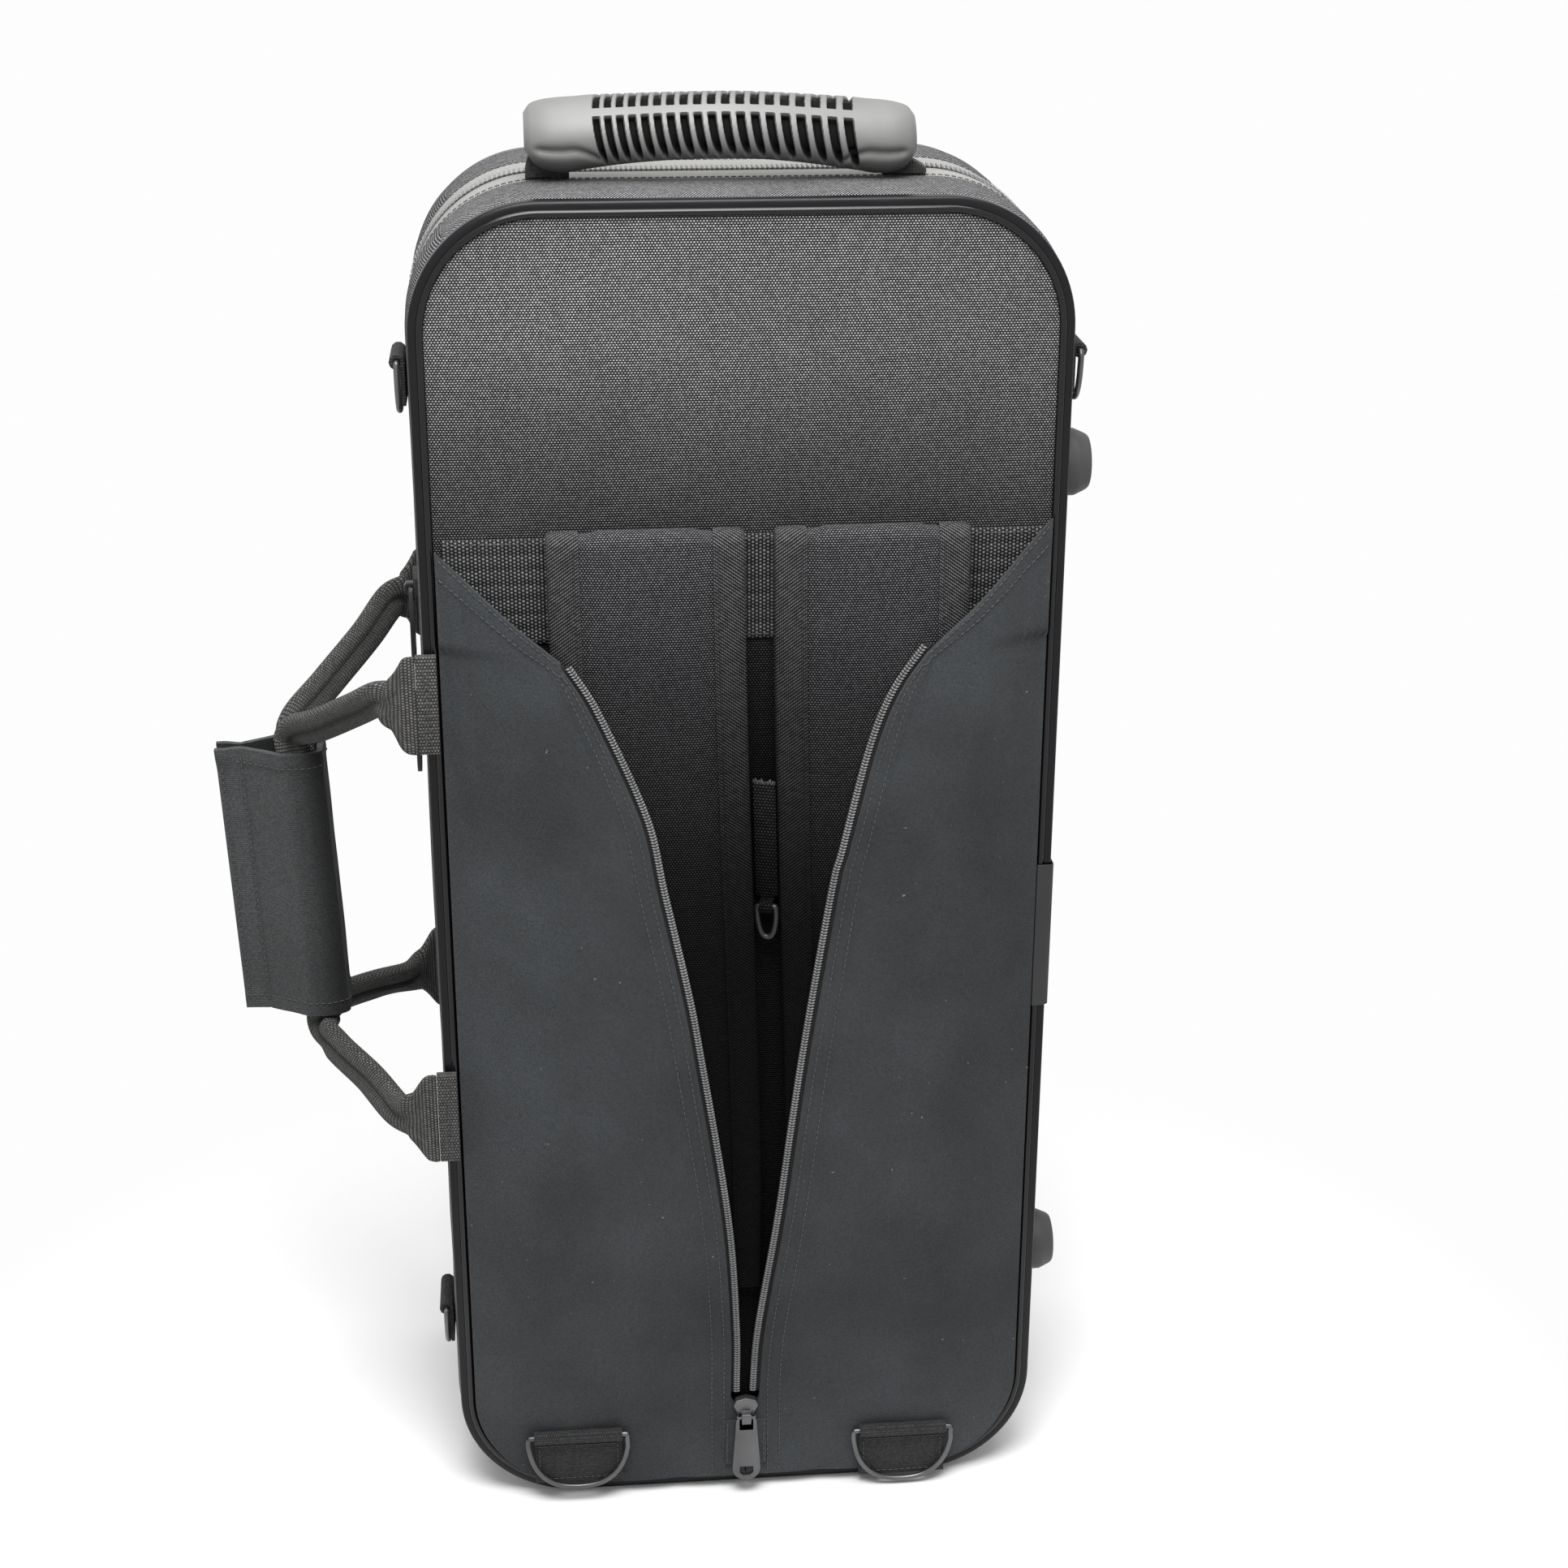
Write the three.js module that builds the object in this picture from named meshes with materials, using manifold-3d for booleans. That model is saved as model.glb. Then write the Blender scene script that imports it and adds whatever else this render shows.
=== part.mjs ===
// Soft trumpet case that stands on its bottom end, in mm: pocket side towards -Y, width along X, height on Z.
import * as THREE from "three";
import { mergeVertices, toCreasedNormals } from "three/addons/utils/BufferGeometryUtils.js";
import Module from "manifold-3d";

const wasm = await Module();
wasm.setup();

// Case body, measured over the edge piping. The two halves meet at the zip, on the plane y = 0.
const caseWidth = 255;
const caseHeight = 577;
const caseDepth = 140;
const cornerRadius = 51;
const wallThickness = 8;
const panelThickness = 4.5;
const panelCrown = 1.6;
const gussetBulge = 1.6;
const zipTapeWidth = 21;
const zipHalfGap = 3.2;
const gap = 0.3; // kept between pieces that touch

// Steps in curved surfaces.
const cornerSteps = 6;
const wireSides = 8;
const turnSteps = 10;
const gripSides = 16;
const creaseAngle = 0.6;
const weld = 1e-4;

// Edge piping: a flat ribbon round the corner of the case with a bead on the panel side.
const piping = { thickness: 0.8, sideWidth: 6.6, faceWidth: 6.2, bead: 3.2, beadRise: 1.3 };
const sleeve = { thickness: 0.7, bottomShare: 0.41, topShare: 0.523 };

// Main zip: a tape and a coil on each half, two sliders on the left wall.
const tape = { thickness: 0.9, proud: 0.4 };
const coil = { width: 2.7, thickness: 2.4, proud: 1.8, endSteps: 2 };
const slider = { width: 11, length: 12, thickness: 3.4, bridgeWidth: 4.2, bridgeWall: 1.3 };
// Outline of a slider's body: shares of its width and length, right side from the tail to the nose.
const sliderShares = [
  [0.3, -0.5],
  [0.34, -0.125],
  [0.5, 0.17],
  [0.4, 0.4],
];
const pull = {
  length: 34,
  topWidth: 9,
  bottomWidth: 12.6,
  thickness: 1.7,
  barHalf: 0.95,
  eye: 5.2,
  slot: 6.2,
};
const mainSliders = { upperShare: 0.711, lowerShare: 0.626 };

// Interior: foam block with a trumpet recess on the pocket half, a hollow liner in the other half.
const insert = { floor: 1.2, face: 4.2, margin: 11, divider: 10, bayWidth: 48 };
const bayShares = [
  [0.08, 0.42],
  [0.46, 0.92],
];
const recess = {
  bellWidth: 126,
  flareWidth: 75.4,
  throatWidth: 58,
  valveWidth: 142,
  pipeWidth: 96,
  pipeEndWidth: 44,
  bottomMargin: 30,
  topMargin: 30,
};
// Stretches of the recess along its length, from the bell's end up.
const recessShares = {
  bell: 0.05,
  flare: 0.14,
  throat: 0.26,
  valves: [0.36, 0.62],
  pipes: [0.68, 0.88],
  end: 0.94,
};

// Moulded rubber top handle. It is drawn upright over its pivot and leans forward until its ends rest.
const grip = {
  length: 150,
  rise: 22.8,
  height: 25.8,
  width: 31.8,
  shift: -6.2,
  droop: 2.6,
  lean: 0.5,
  twist: 0.33,
  pivotInset: 25,
  windows: 19,
  ribbedLength: 101,
  ribbedShift: 0.6,
  pitchGrowth: 1.45,
  windowShare: 0.52,
  windowEndShare: 0.5,
  slant: 0.26,
  spine: 3.4,
  wall: 3.2,
};
// Sections from an end to the middle: shares of the half length, rise of the centre, height and width.
const gripShares = [
  [1, 0.855, 0.362, 0.5],
  [0.965, 0.833, 0.616, 0.74],
  [0.9, 0.789, 0.87, 0.88],
  [0.8, 0.772, 1, 0.93],
  [0.7, 0.825, 0.957, 0.9],
  [0.5, 0.912, 0.884, 0.86],
  [0.25, 0.978, 0.855, 0.83],
  [0, 1, 0.848, 0.824],
];
const gripUndersideShare = 0.92;
const sagFullShare = 0.5;
const gripSquareness = 0.75;
const gripWebbing = {
  width: 18,
  baseWidth: 17,
  thickness: 2.4,
  sewnLength: 6.5,
  sewnThickness: 1.5,
  mouth: 20,
  rightSpread: 6,
};
// The webbing's climb out of its seam: shares of the way in and of the rise, and how far it has turned.
const webbingShares = [
  [0, 0, 0],
  [0, 0.25, 0.1],
  [0.05, 0.55, 0.5],
  [0.35, 0.8, 0.95],
  [0.65, 1.015, 1],
];
// The mouth's cut: shares of its length and of the handle's rise at its end.
const mouthShares = [
  [1, -1],
  [1, 0.6],
  [0.9, 1.15],
];

// Webbing band and the two padded shoulder straps, folded over at the top and tucked into the pocket.
const band = { bottomShare: 0.702, topShare: 0.776, thickness: 1.6, width: 236, ribs: 7, ribRise: 0.35 };
const strap = {
  topShare: 0.7835,
  bottomShare: 0.185,
  backBottomShare: 0.36,
  tuckShare: 0.31,
  tuckDepth: 6.2,
  width: 77.2,
  padThickness: 5,
  edgeThickness: 3.2,
  fullShare: 0.72,
  leafGap: 0.7,
  steps: 6,
  bindingWidth: 12.5,
  bindingThickness: 0.8,
  leftInner: -1,
  rightInner: 10.4,
  leftDrift: 7,
  rightDrift: 6,
};
const tail = {
  width: 9.4,
  eyeWidth: 5.6,
  thickness: 1.4,
  topShare: 0.597,
  length: 54,
  eyeLength: 4,
  x: 7.7,
  turn: -0.3,
  lean: -0.027,
  ringWidth: 10.8,
  ringDrop: 15,
};

// Front pocket: two cloth flaps that lie open in a V, each with half of the zip on its free edge.
const flap = {
  thickness: 1.2,
  rest: 0.5,
  leftHemTopShare: 0.769,
  rightHemTopShare: 0.783,
  zipTopShare: 0.696,
  bulgeBottomShare: 0.085,
  bulgeFullShare: 0.28,
  settle: 2.4,
  rollWidth: 36,
  fold: 0.9,
  folds: 4,
  columns: 10,
  rows: 12,
};
const pocketZip = {
  tapeWidth: 8.4,
  tapeThickness: 0.8,
  coilWidth: 3.8,
  coilThickness: 2.4,
  coilBackThickness: 1.4,
  overlap: 7.5,
  steps: 16,
};
// Free edge of each flap, along the coil: shares of the case's height and of half its width.
const leftCoilShares = [
  [0.088, -0.04],
  [0.15, -0.0416],
  [0.256, -0.0737],
  [0.393, -0.1616],
  [0.445, -0.2],
  [0.523, -0.2714],
  [0.58, -0.3231],
  [0.658, -0.4667],
  [0.6925, -0.5553],
];
const rightCoilShares = [
  [0.088, 0.0173],
  [0.148, 0.0345],
  [0.254, 0.0965],
  [0.389, 0.1749],
  [0.52, 0.2667],
  [0.55, 0.298],
  [0.628, 0.3812],
  [0.669, 0.451],
  [0.701, 0.5459],
];
const endPatch = { left: -10.6, right: 7.9, bottomShare: 0.024, thickness: 1.6 };
const pocketSlider = { x: -1.3, share: 0.076 };

// D-rings and their folded webbing tabs.
const ringWire = 2.4;
const frontRing = {
  width: 47,
  drop: 28,
  tabWidth: 39,
  leftX: -76.2,
  rightX: 69.5,
  leftShare: 0.0605,
  rightShare: 0.051,
};
const frontTab = { thickness: 1.5, length: 25 };
const sideRing = {
  width: 31,
  drop: 22,
  tabWidth: 24,
  tabLength: 17,
  inset: 26,
  lowShare: 0.157,
  highShare: 0.892,
};

// Side carry handle: two webbing loops in a wrap, with one loop and one leaf of the wrap for each half.
const carry = {
  upperShare: 0.661,
  lowerShare: 0.34,
  tabWidth: 41,
  tabReach: 5,
  tabThickness: 1.6,
  tabPanelReach: 5.2,
  flat: 3.2,
  roundWide: 14.5,
  roundThin: 8.6,
  gripX: 58.8,
  gripY: 6.9,
  lead: 7,
  fullShare: 0.65,
  splay: 0.4,
};
// The loop from a tab to the wrap: shares of the reach, of the way round and of the drop, and how flat it is.
const carryUpperShares = [
  [0, 0, 0, 1],
  [0.06, 0.01, 0, 0.88],
  [0.15, 0.05, 0, 0.3],
  [0.27, 0.15, 0.02, 0.05],
  [0.46, 0.4, 0.3, 0],
  [0.75, 0.7, 0.68, 0],
];
const carryLowerShares = [
  [0, 0, 0, 1],
  [0.06, 0.01, 0, 0.88],
  [0.17, 0.05, 0, 0.3],
  [0.3, 0.15, 0.02, 0.05],
  [0.52, 0.42, 0.45, 0],
  [0.8, 0.74, 0.82, 0],
];
const wrap = {
  bottomShare: 0.3755,
  topShare: 0.588,
  thickness: 2.2,
  fin: 92.3,
  lean: 4.6,
  leaf: 13.8,
  seamShare: 0.45,
  steps: 5,
};

const foot = {
  radius: 13.5,
  height: 10.5,
  rim: 10,
  round: 1.4,
  dish: 3.2,
  dishRadius: 8.5,
  inset: 26,
  highShare: 0.809,
  lowShare: 0.181,
};

const frontY = -caseDepth / 2;
const panelY = frontY + piping.beadRise + 2 * gap;
const shellInset = piping.thickness + gap;
const gussetStart = frontY + piping.sideWidth + gap;
const gussetEnd = -zipHalfGap - zipTapeWidth;
const tapeSeat = tape.thickness + gap - tape.proud;
const floorSeat = coil.thickness + gap;
const linerInset = shellInset + wallThickness;
const panelFace = panelY - panelCrown / 2;
const fabricFace = panelFace - gap;
const strapBack = fabricFace - band.thickness - band.ribRise - gap;
const strapPitch = strap.padThickness + strap.leafGap;
const strapFront = strapBack - strap.padThickness - strapPitch;
const flapHigh = strapFront - 4 * gap - pocketZip.tapeThickness;
const flapLow = fabricFace - flap.rest;
const flapFront = flapLow - flap.settle - flap.thickness - flap.fold;
const outerX = caseWidth / 2;
const bridgeInside = pull.barHalf + gap;
const bridgeHeight = bridgeInside + slider.bridgeWall + gap - slider.length / 2;
const pullOffset = slider.thickness + bridgeInside;
const tabStandOff = ringWire / 2 + gap + frontTab.thickness;
const bandLiftStart = caseHeight * band.bottomShare - band.thickness;
const flapMargin = piping.faceWidth + sleeve.thickness + 3 * gap;
const pocketZipStart = caseHeight * pocketSlider.share + slider.length / 2 + gap;
const patchTop = caseHeight * pocketSlider.share - slider.length / 2 - gap;
const tabY = flapLow - flap.thickness - 3 * gap - carry.tabThickness;
const insertFloor = panelY + panelThickness + gap;
const gripSections = gripShares.map(([along, centre, high, wide]) => [
  along,
  centre * grip.rise,
  (high * grip.height) / 2,
  (wide * grip.width) / 2,
]);
const gripCentres = gripSections.map(([along, centre]) => [(along * grip.length) / 2, centre]).reverse();
const [leftCoil, rightCoil] = [leftCoilShares, rightCoilShares].map((rows) =>
  rows.map(([share, x]) => [share, x * outerX]),
);

const atShare = (share) => share * caseHeight;
const mix = (a, b, t) => a + (b - a) * t;
const vec = (x, y, z) => new THREE.Vector3(x, y, z);

function smooth(t) {
  const s = THREE.MathUtils.clamp(t, 0, 1);
  return s * s * (3 - 2 * s);
}

// Value of a table of [key, value] rows at a key, in a straight line between rows.
function lookUp(rows, key) {
  const next = rows.findIndex((row) => row[0] > key);
  if (next < 0) return rows.at(-1)[1];
  if (next === 0) return rows[0][1];
  const [a, b] = [rows[next - 1], rows[next]];
  return mix(a[1], b[1], (key - a[0]) / (b[0] - a[0]));
}

// Turns the faces round where they point inwards, and joins the vertices.
function outward(geometry) {
  geometry.deleteAttribute("normal");
  geometry.deleteAttribute("uv");
  const merged = mergeVertices(geometry, weld);
  const at = merged.attributes.position;
  const index = merged.index.array;
  const [a, b, c] = [vec(), vec(), vec()];
  let volume = 0;
  for (let i = 0; i < index.length; i += 3) {
    a.fromBufferAttribute(at, index[i]);
    b.fromBufferAttribute(at, index[i + 1]);
    c.fromBufferAttribute(at, index[i + 2]);
    volume += a.dot(b.cross(c));
  }
  if (volume > 0) return merged;
  for (let i = 0; i < index.length; i += 3) {
    [index[i + 1], index[i + 2]] = [index[i + 2], index[i + 1]];
  }
  return merged;
}

// Triangles that close a ring of points, wound like the ring.
function capOf(ring) {
  const normal = vec(0, 0, 0);
  ring.forEach((p, i) => normal.add(p.clone().cross(ring[(i + 1) % ring.length])));
  normal.normalize();
  const across = Math.abs(normal.z) < 0.9 ? vec(0, 0, 1) : vec(1, 0, 0);
  const u = across.cross(normal).normalize();
  const v = normal.clone().cross(u);
  const flat = ring.map((p) => new THREE.Vector2(p.dot(u), p.dot(v)));
  return THREE.ShapeUtils.triangulateShape(flat, []).map(([i, j, k]) => {
    const area = flat[j].clone().sub(flat[i]).cross(flat[k].clone().sub(flat[i]));
    return area > 0 ? [i, j, k] : [i, k, j];
  });
}

// Closed surface through rings of points. Looped, the last ring joins the first. Else both ends are capped.
function skin(rings, looped = false) {
  const count = rings[0].length;
  const faces = [];
  const spans = looped ? rings.length : rings.length - 1;
  for (let i = 0; i < spans; i++) {
    const near = i * count;
    const far = ((i + 1) % rings.length) * count;
    for (let j = 0; j < count; j++) {
      const k = (j + 1) % count;
      faces.push(near + j, near + k, far + k, near + j, far + k, far + j);
    }
  }
  if (!looped) {
    const end = (rings.length - 1) * count;
    capOf(rings[0]).forEach(([i, j, k]) => faces.push(i, k, j));
    capOf(rings.at(-1)).forEach(([i, j, k]) => faces.push(end + i, end + j, end + k));
  }
  const geometry = new THREE.BufferGeometry();
  const points = rings.flat().flatMap((p) => [p.x, p.y, p.z]);
  geometry.setAttribute("position", new THREE.Float32BufferAttribute(points, 3));
  geometry.setIndex(faces);
  return outward(geometry);
}

function solidOf(geometry) {
  const clean = outward(geometry.clone());
  return new wasm.Manifold(
    new wasm.Mesh({
      numProp: 3,
      vertProperties: clean.attributes.position.array,
      triVerts: new Uint32Array(clean.index.array),
    }),
  );
}

function geometryOf(solid) {
  const mesh = solid.getMesh();
  const geometry = new THREE.BufferGeometry();
  geometry.setAttribute("position", new THREE.Float32BufferAttribute(mesh.vertProperties, mesh.numProp));
  geometry.setIndex(Array.from(mesh.triVerts));
  return geometry;
}

const joined = (...parts) => geometryOf(parts.map(solidOf).reduce((a, b) => a.add(b)));
const cut = (body, ...tools) => geometryOf(tools.map(solidOf).reduce((a, b) => a.subtract(b), solidOf(body)));

// The same piece on the other side of the zip plane, or of the middle of the width.
function mirrored(geometry, axis) {
  const copy = geometry.clone();
  copy.scale(axis === "x" ? -1 : 1, axis === "y" ? -1 : 1, 1);
  return outward(copy);
}

// Outline of the case in the XZ plane, set in from the piping's outer line. It starts at the top of the right
// wall, and that wall is its closing side.
function outline(inset, floorInset = inset) {
  const half = outerX - inset;
  const radius = Math.max(cornerRadius - inset, panelThickness);
  const top = caseHeight - inset;
  const centres = [
    [half - radius, top - radius],
    [radius - half, top - radius],
    [radius - half, floorInset + radius],
    [half - radius, floorInset + radius],
  ];
  return centres.flatMap(([x, z], quarter) =>
    Array.from({ length: cornerSteps + 1 }, (_, i) => {
      const angle = (Math.PI / 2) * (quarter + i / cornerSteps);
      return [x + radius * Math.cos(angle), z + radius * Math.sin(angle)];
    }),
  );
}

const outlineRing = (inset, floorInset, y) => outline(inset, floorInset).map(([x, z]) => vec(x, y, z));

// Sweep of a profile of [inset, floor inset, y] rows round the case. When not looped it leaves out the right
// wall, and the given number of corner steps at each end.
function edging(profile, looped = true, short = 0) {
  const lines = profile.map(([inset, floorInset, y]) => outlineRing(inset, floorInset, y));
  const rings = lines[0].map((_, i) => lines.map((line) => line[i]));
  return skin(rings.slice(short, rings.length - short), looped);
}

// Plate of an XZ outline that reaches back from a front plane.
function plate(points, front, thickness) {
  const shape = new THREE.Shape(points.map(([x, z]) => new THREE.Vector2(x, z)));
  const geometry = new THREE.ExtrudeGeometry(shape, { depth: thickness, bevelEnabled: false });
  geometry.rotateX(Math.PI / 2);
  geometry.translate(0, front + thickness, 0);
  return outward(geometry);
}

// Prism of a YZ outline, centred on x.
function prism(points, x, width) {
  const rings = [x - width / 2, x + width / 2].map((at) => points.map(([y, z]) => vec(at, y, z)));
  return skin(rings);
}

const rectangle = (left, right, bottom, top) => [
  [left, bottom],
  [right, bottom],
  [right, top],
  [left, top],
];

function circle(x, z, radius, steps) {
  return Array.from({ length: steps }, (_, i) => {
    const angle = (2 * Math.PI * i) / steps;
    return [x + radius * Math.cos(angle), z + radius * Math.sin(angle)];
  });
}

// Sweep along points. A section lists [wide, thin] offsets, and the thin direction stays near a given axis.
function sweep(points, sections, thinAxis, looped = false) {
  const last = points.length - 1;
  const rings = points.map((p, i) => {
    const before = points[looped ? (i + last) % points.length : Math.max(i - 1, 0)];
    const after = points[looped ? (i + 1) % points.length : Math.min(i + 1, last)];
    const along = after.clone().sub(before).normalize();
    const axis = Array.isArray(thinAxis) ? thinAxis[i] : thinAxis;
    const thin = axis.clone().addScaledVector(along, -axis.dot(along)).normalize();
    const wide = along.clone().cross(thin);
    return sections(i).map(([w, t]) => p.clone().addScaledVector(wide, w).addScaledVector(thin, t));
  });
  return skin(rings, looped);
}

// Shells of the two halves, with the interior open towards the zip.
function shellHalf() {
  const rings = [
    outlineRing(outerX / 2, outerX / 2, panelY - panelCrown / 2),
    outlineRing(outerX / 5, outerX / 5, panelY - panelCrown / 4),
    outlineRing(piping.faceWidth + 2 * gap, piping.faceWidth + 2 * gap, panelY),
    outlineRing(shellInset, shellInset, panelY + piping.thickness),
    outlineRing(shellInset, shellInset, gussetStart - gap),
    outlineRing(0, 0, gussetStart),
    outlineRing(-0.75 * gussetBulge, 0, mix(gussetStart, gussetEnd, 0.25)),
    outlineRing(-gussetBulge, 0, mix(gussetStart, gussetEnd, 0.65)),
    outlineRing(-gussetBulge / 2, 0, gussetEnd),
    outlineRing(tapeSeat, floorSeat, gussetEnd + gap),
    outlineRing(tapeSeat, floorSeat, -zipHalfGap),
    outlineRing(linerInset, linerInset, -zipHalfGap),
    outlineRing(linerInset, linerInset, panelY + panelThickness),
  ];
  return skin(rings);
}

function pipingRing() {
  const { thickness, sideWidth, faceWidth, bead, beadRise } = piping;
  const face = panelY - gap;
  const beadCentre = faceWidth - bead / 2;
  return edging(
    [
      [0, frontY + sideWidth],
      [0, frontY + beadRise],
      [thickness, frontY + beadRise / 2],
      [faceWidth - bead - gap, frontY + beadRise / 2],
      [faceWidth - bead, frontY + beadRise],
      [beadCentre - bead / 4, frontY],
      [beadCentre + bead / 4, frontY],
      [faceWidth, frontY + beadRise],
      [faceWidth, face],
      [shellInset, face + thickness / 2],
      [thickness, face + thickness],
      [thickness, frontY + sideWidth],
    ].map(([inset, y]) => [inset, inset, y]),
  );
}

// Smooth cover over the joint of the piping, on the right edge.
function pipingSleeve() {
  const { thickness, sideWidth, faceWidth, bead, beadRise } = piping;
  const outer = gap + sleeve.thickness;
  const side = outerX;
  const edge = outerX - faceWidth;
  const profile = (d) => [
    [side + d, frontY + sideWidth - gap],
    [side + d, frontY + beadRise / 2],
    [side - thickness, frontY - d / 2],
    [edge + bead / 2, frontY - d],
    [edge + gap, frontY - d],
    [edge - d, frontY + beadRise / 2],
  ];
  const points = [...profile(outer), ...profile(gap).reverse()];
  const [bottom, top] = [atShare(sleeve.bottomShare), atShare(sleeve.topShare)];
  return skin([bottom, top].map((z) => points.map(([x, y]) => vec(x, y, z))));
}

function zipTape() {
  const { thickness, proud } = tape;
  const back = gussetEnd + 2 * gap;
  return edging(
    [
      [-proud, gap, back],
      [-proud, gap, -zipHalfGap],
      [thickness - proud, gap + thickness, -zipHalfGap],
      [thickness - proud, gap + thickness, back],
    ],
    false,
  );
}

function zipCoil() {
  const { width, thickness, proud } = coil;
  const far = -zipHalfGap + gap;
  const near = far + width;
  const bevel = thickness / 3;
  return edging(
    [
      [thickness - proud, thickness, far],
      [bevel - proud, bevel, far],
      [-proud, gap / 2, far + bevel],
      [-proud, gap / 2, near],
      [thickness - proud, thickness, near],
    ],
    false,
    coil.endSteps,
  );
}

function hingeTape() {
  const inner = outerX - tapeSeat + gap;
  const outer = outerX + tape.proud;
  const points = [
    [inner, gussetEnd + 2 * gap],
    [outer, gussetEnd + 2 * gap],
    [outer, -gap],
    [inner, -gap],
  ];
  const [bottom, top] = [cornerRadius + coil.proud + 2 * gap, caseHeight - cornerRadius - gap];
  return skin([bottom, top].map((z) => points.map(([x, y]) => vec(x, y, z))));
}

// Outline of the trumpet recess: bell at the bottom, valves in the middle, pipes at the top.
function recessOutline() {
  const left = -outerX + linerInset + insert.margin + insert.bayWidth + insert.divider;
  const x = mix(left, outerX - linerInset - insert.margin, 0.5);
  const bottom = linerInset + recess.bottomMargin;
  const top = caseHeight - linerInset - recess.topMargin;
  const { bell, flare, throat, valves, pipes, end } = recessShares;
  const rows = [
    [0, recess.bellWidth],
    [bell, recess.bellWidth],
    [flare, recess.flareWidth],
    [throat, recess.throatWidth],
    ...valves.map((share) => [share, recess.valveWidth]),
    ...pipes.map((share) => [share, recess.pipeWidth]),
    [end, recess.pipeEndWidth],
    [1, recess.pipeEndWidth],
  ];
  const side = (sign) => rows.map(([share, width]) => [x + (sign * width) / 2, mix(bottom, top, share)]);
  return [...side(1), ...side(-1).reverse()];
}

function bodyInsert() {
  const outer = outline(linerInset + gap);
  const block = plate(outer, insertFloor, -insert.face - insertFloor);
  const depth = -insert.face - insertFloor;
  const left = -outerX + linerInset + insert.margin;
  const bays = bayShares.map(([from, to]) =>
    plate(
      rectangle(left, left + insert.bayWidth, atShare(from), atShare(to)),
      insertFloor + insert.margin,
      depth,
    ),
  );
  const hollow = plate(recessOutline(), insertFloor + insert.floor, depth);
  return cut(block, hollow, ...bays);
}

function lidLiner() {
  const front = insert.face;
  const depth = -insertFloor - insert.face;
  const block = plate(outline(linerInset + gap), front, depth);
  const hollow = plate(outline(linerInset + insert.margin), 0, depth + insert.face - insert.floor);
  return cut(block, hollow);
}

// Section of the handle: an egg with a flatter underside.
function gripRing(x, centre, halfHeight, halfWidth) {
  return Array.from({ length: gripSides }, (_, i) => {
    const angle = (2 * Math.PI * i) / gripSides;
    const [c, s] = [Math.cos(angle), Math.sin(angle)];
    const spread = s < 0 ? Math.sign(c) * Math.abs(c) ** gripSquareness : c;
    return vec(x, halfWidth * spread, centre + halfHeight * (s < 0 ? gripUndersideShare * s : s));
  });
}

function gripLoft() {
  const half = gripSections.map(([share, ...rest]) => [(share * grip.length) / 2, ...rest]);
  const rows = [...half, ...half.slice(0, -1).reverse().map(([x, ...rest]) => [-x, ...rest])];
  return skin(rows.map((row) => gripRing(...row)));
}

// Middle and pitch of each window. The pitch grows from the left end to the right end.
function windowPlaces() {
  const { windows, ribbedLength, ribbedShift, pitchGrowth } = grip;
  const weights = Array.from({ length: windows }, (_, i) => mix(1, pitchGrowth, i / (windows - 1)));
  const unit = ribbedLength / weights.reduce((a, b) => a + b);
  let edge = ribbedShift - ribbedLength / 2;
  return weights.map((weight) => {
    edge += weight * unit;
    return [edge - (weight * unit) / 2, weight * unit];
  });
}

// Slanted windows between the ribs, in a row on each side of the spine, narrower at their lower ends.
function gripWindows() {
  const [, , halfHeight, halfWidth] = gripSections.at(-1);
  return windowPlaces().flatMap(([x, pitch]) => {
    const half = (pitch * grip.windowShare) / 2;
    const low = half * grip.windowEndShare;
    const centre = lookUp(gripCentres, Math.abs(x));
    const [top, bottom] = [centre + 2 * halfHeight, centre - halfHeight / 2];
    const at = (z) => x + grip.slant * (centre + halfHeight - z);
    const points = [
      [at(bottom) - low, bottom],
      [at(bottom) + low, bottom],
      [at(centre) + half, centre],
      [at(top) + half, top],
      [at(top) - half, top],
      [at(centre) - half, centre],
    ];
    const front = plate(points, -2 * halfWidth, 2 * halfWidth - grip.spine / 2);
    return [front, mirrored(front, "y")];
  });
}

// Hollow of the handle: the webbing's channel, open at both ends.
function gripChannel() {
  const rows = gripSections.map(([share, centre]) => [share * (grip.length / 2 + gap), centre]);
  const all = [...rows, ...rows.slice(0, -1).reverse().map(([x, z]) => [-x, z])];
  const high = gripWebbing.thickness / 2 + grip.wall / 2;
  const wide = gripWebbing.width / 2 + gap;
  const section = [
    [-wide, -high],
    [wide, -high],
    [wide, high / 2],
    [wide - high / 2, high + grip.wall / 2],
    [high / 2 - wide, high + grip.wall / 2],
    [-wide, high / 2],
  ];
  return skin(all.map(([x, z]) => section.map(([w, t]) => vec(x, w, z + t))));
}

// Opening under each end of the handle, where the webbing comes out between the two lobes.
function gripMouths() {
  const end = grip.length / 2;
  const [, centre] = gripSections[2];
  const inner = mouthShares.map(([along, up]) => [along * gripWebbing.mouth - end, up * centre]);
  const top = inner.at(-1)[1];
  const points = [[-end - grip.wall, -centre], ...inner, [-end - grip.wall, top]];
  const left = plate(points, -gripWebbing.width / 2 - gap, gripWebbing.width + 2 * gap);
  return [left, mirrored(left, "x")];
}

// The ribbed body is turned forward round the middle of its section, and the webbing's channel isn't.
function topGrip() {
  const ribbed = cut(gripLoft(), ...gripWindows());
  const [, centre] = gripSections.at(-1);
  ribbed.translate(0, 0, -centre);
  ribbed.rotateX(grip.twist);
  ribbed.translate(0, 0, centre);
  return sagged(cut(ribbed, gripChannel(), ...gripMouths()));
}

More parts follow.
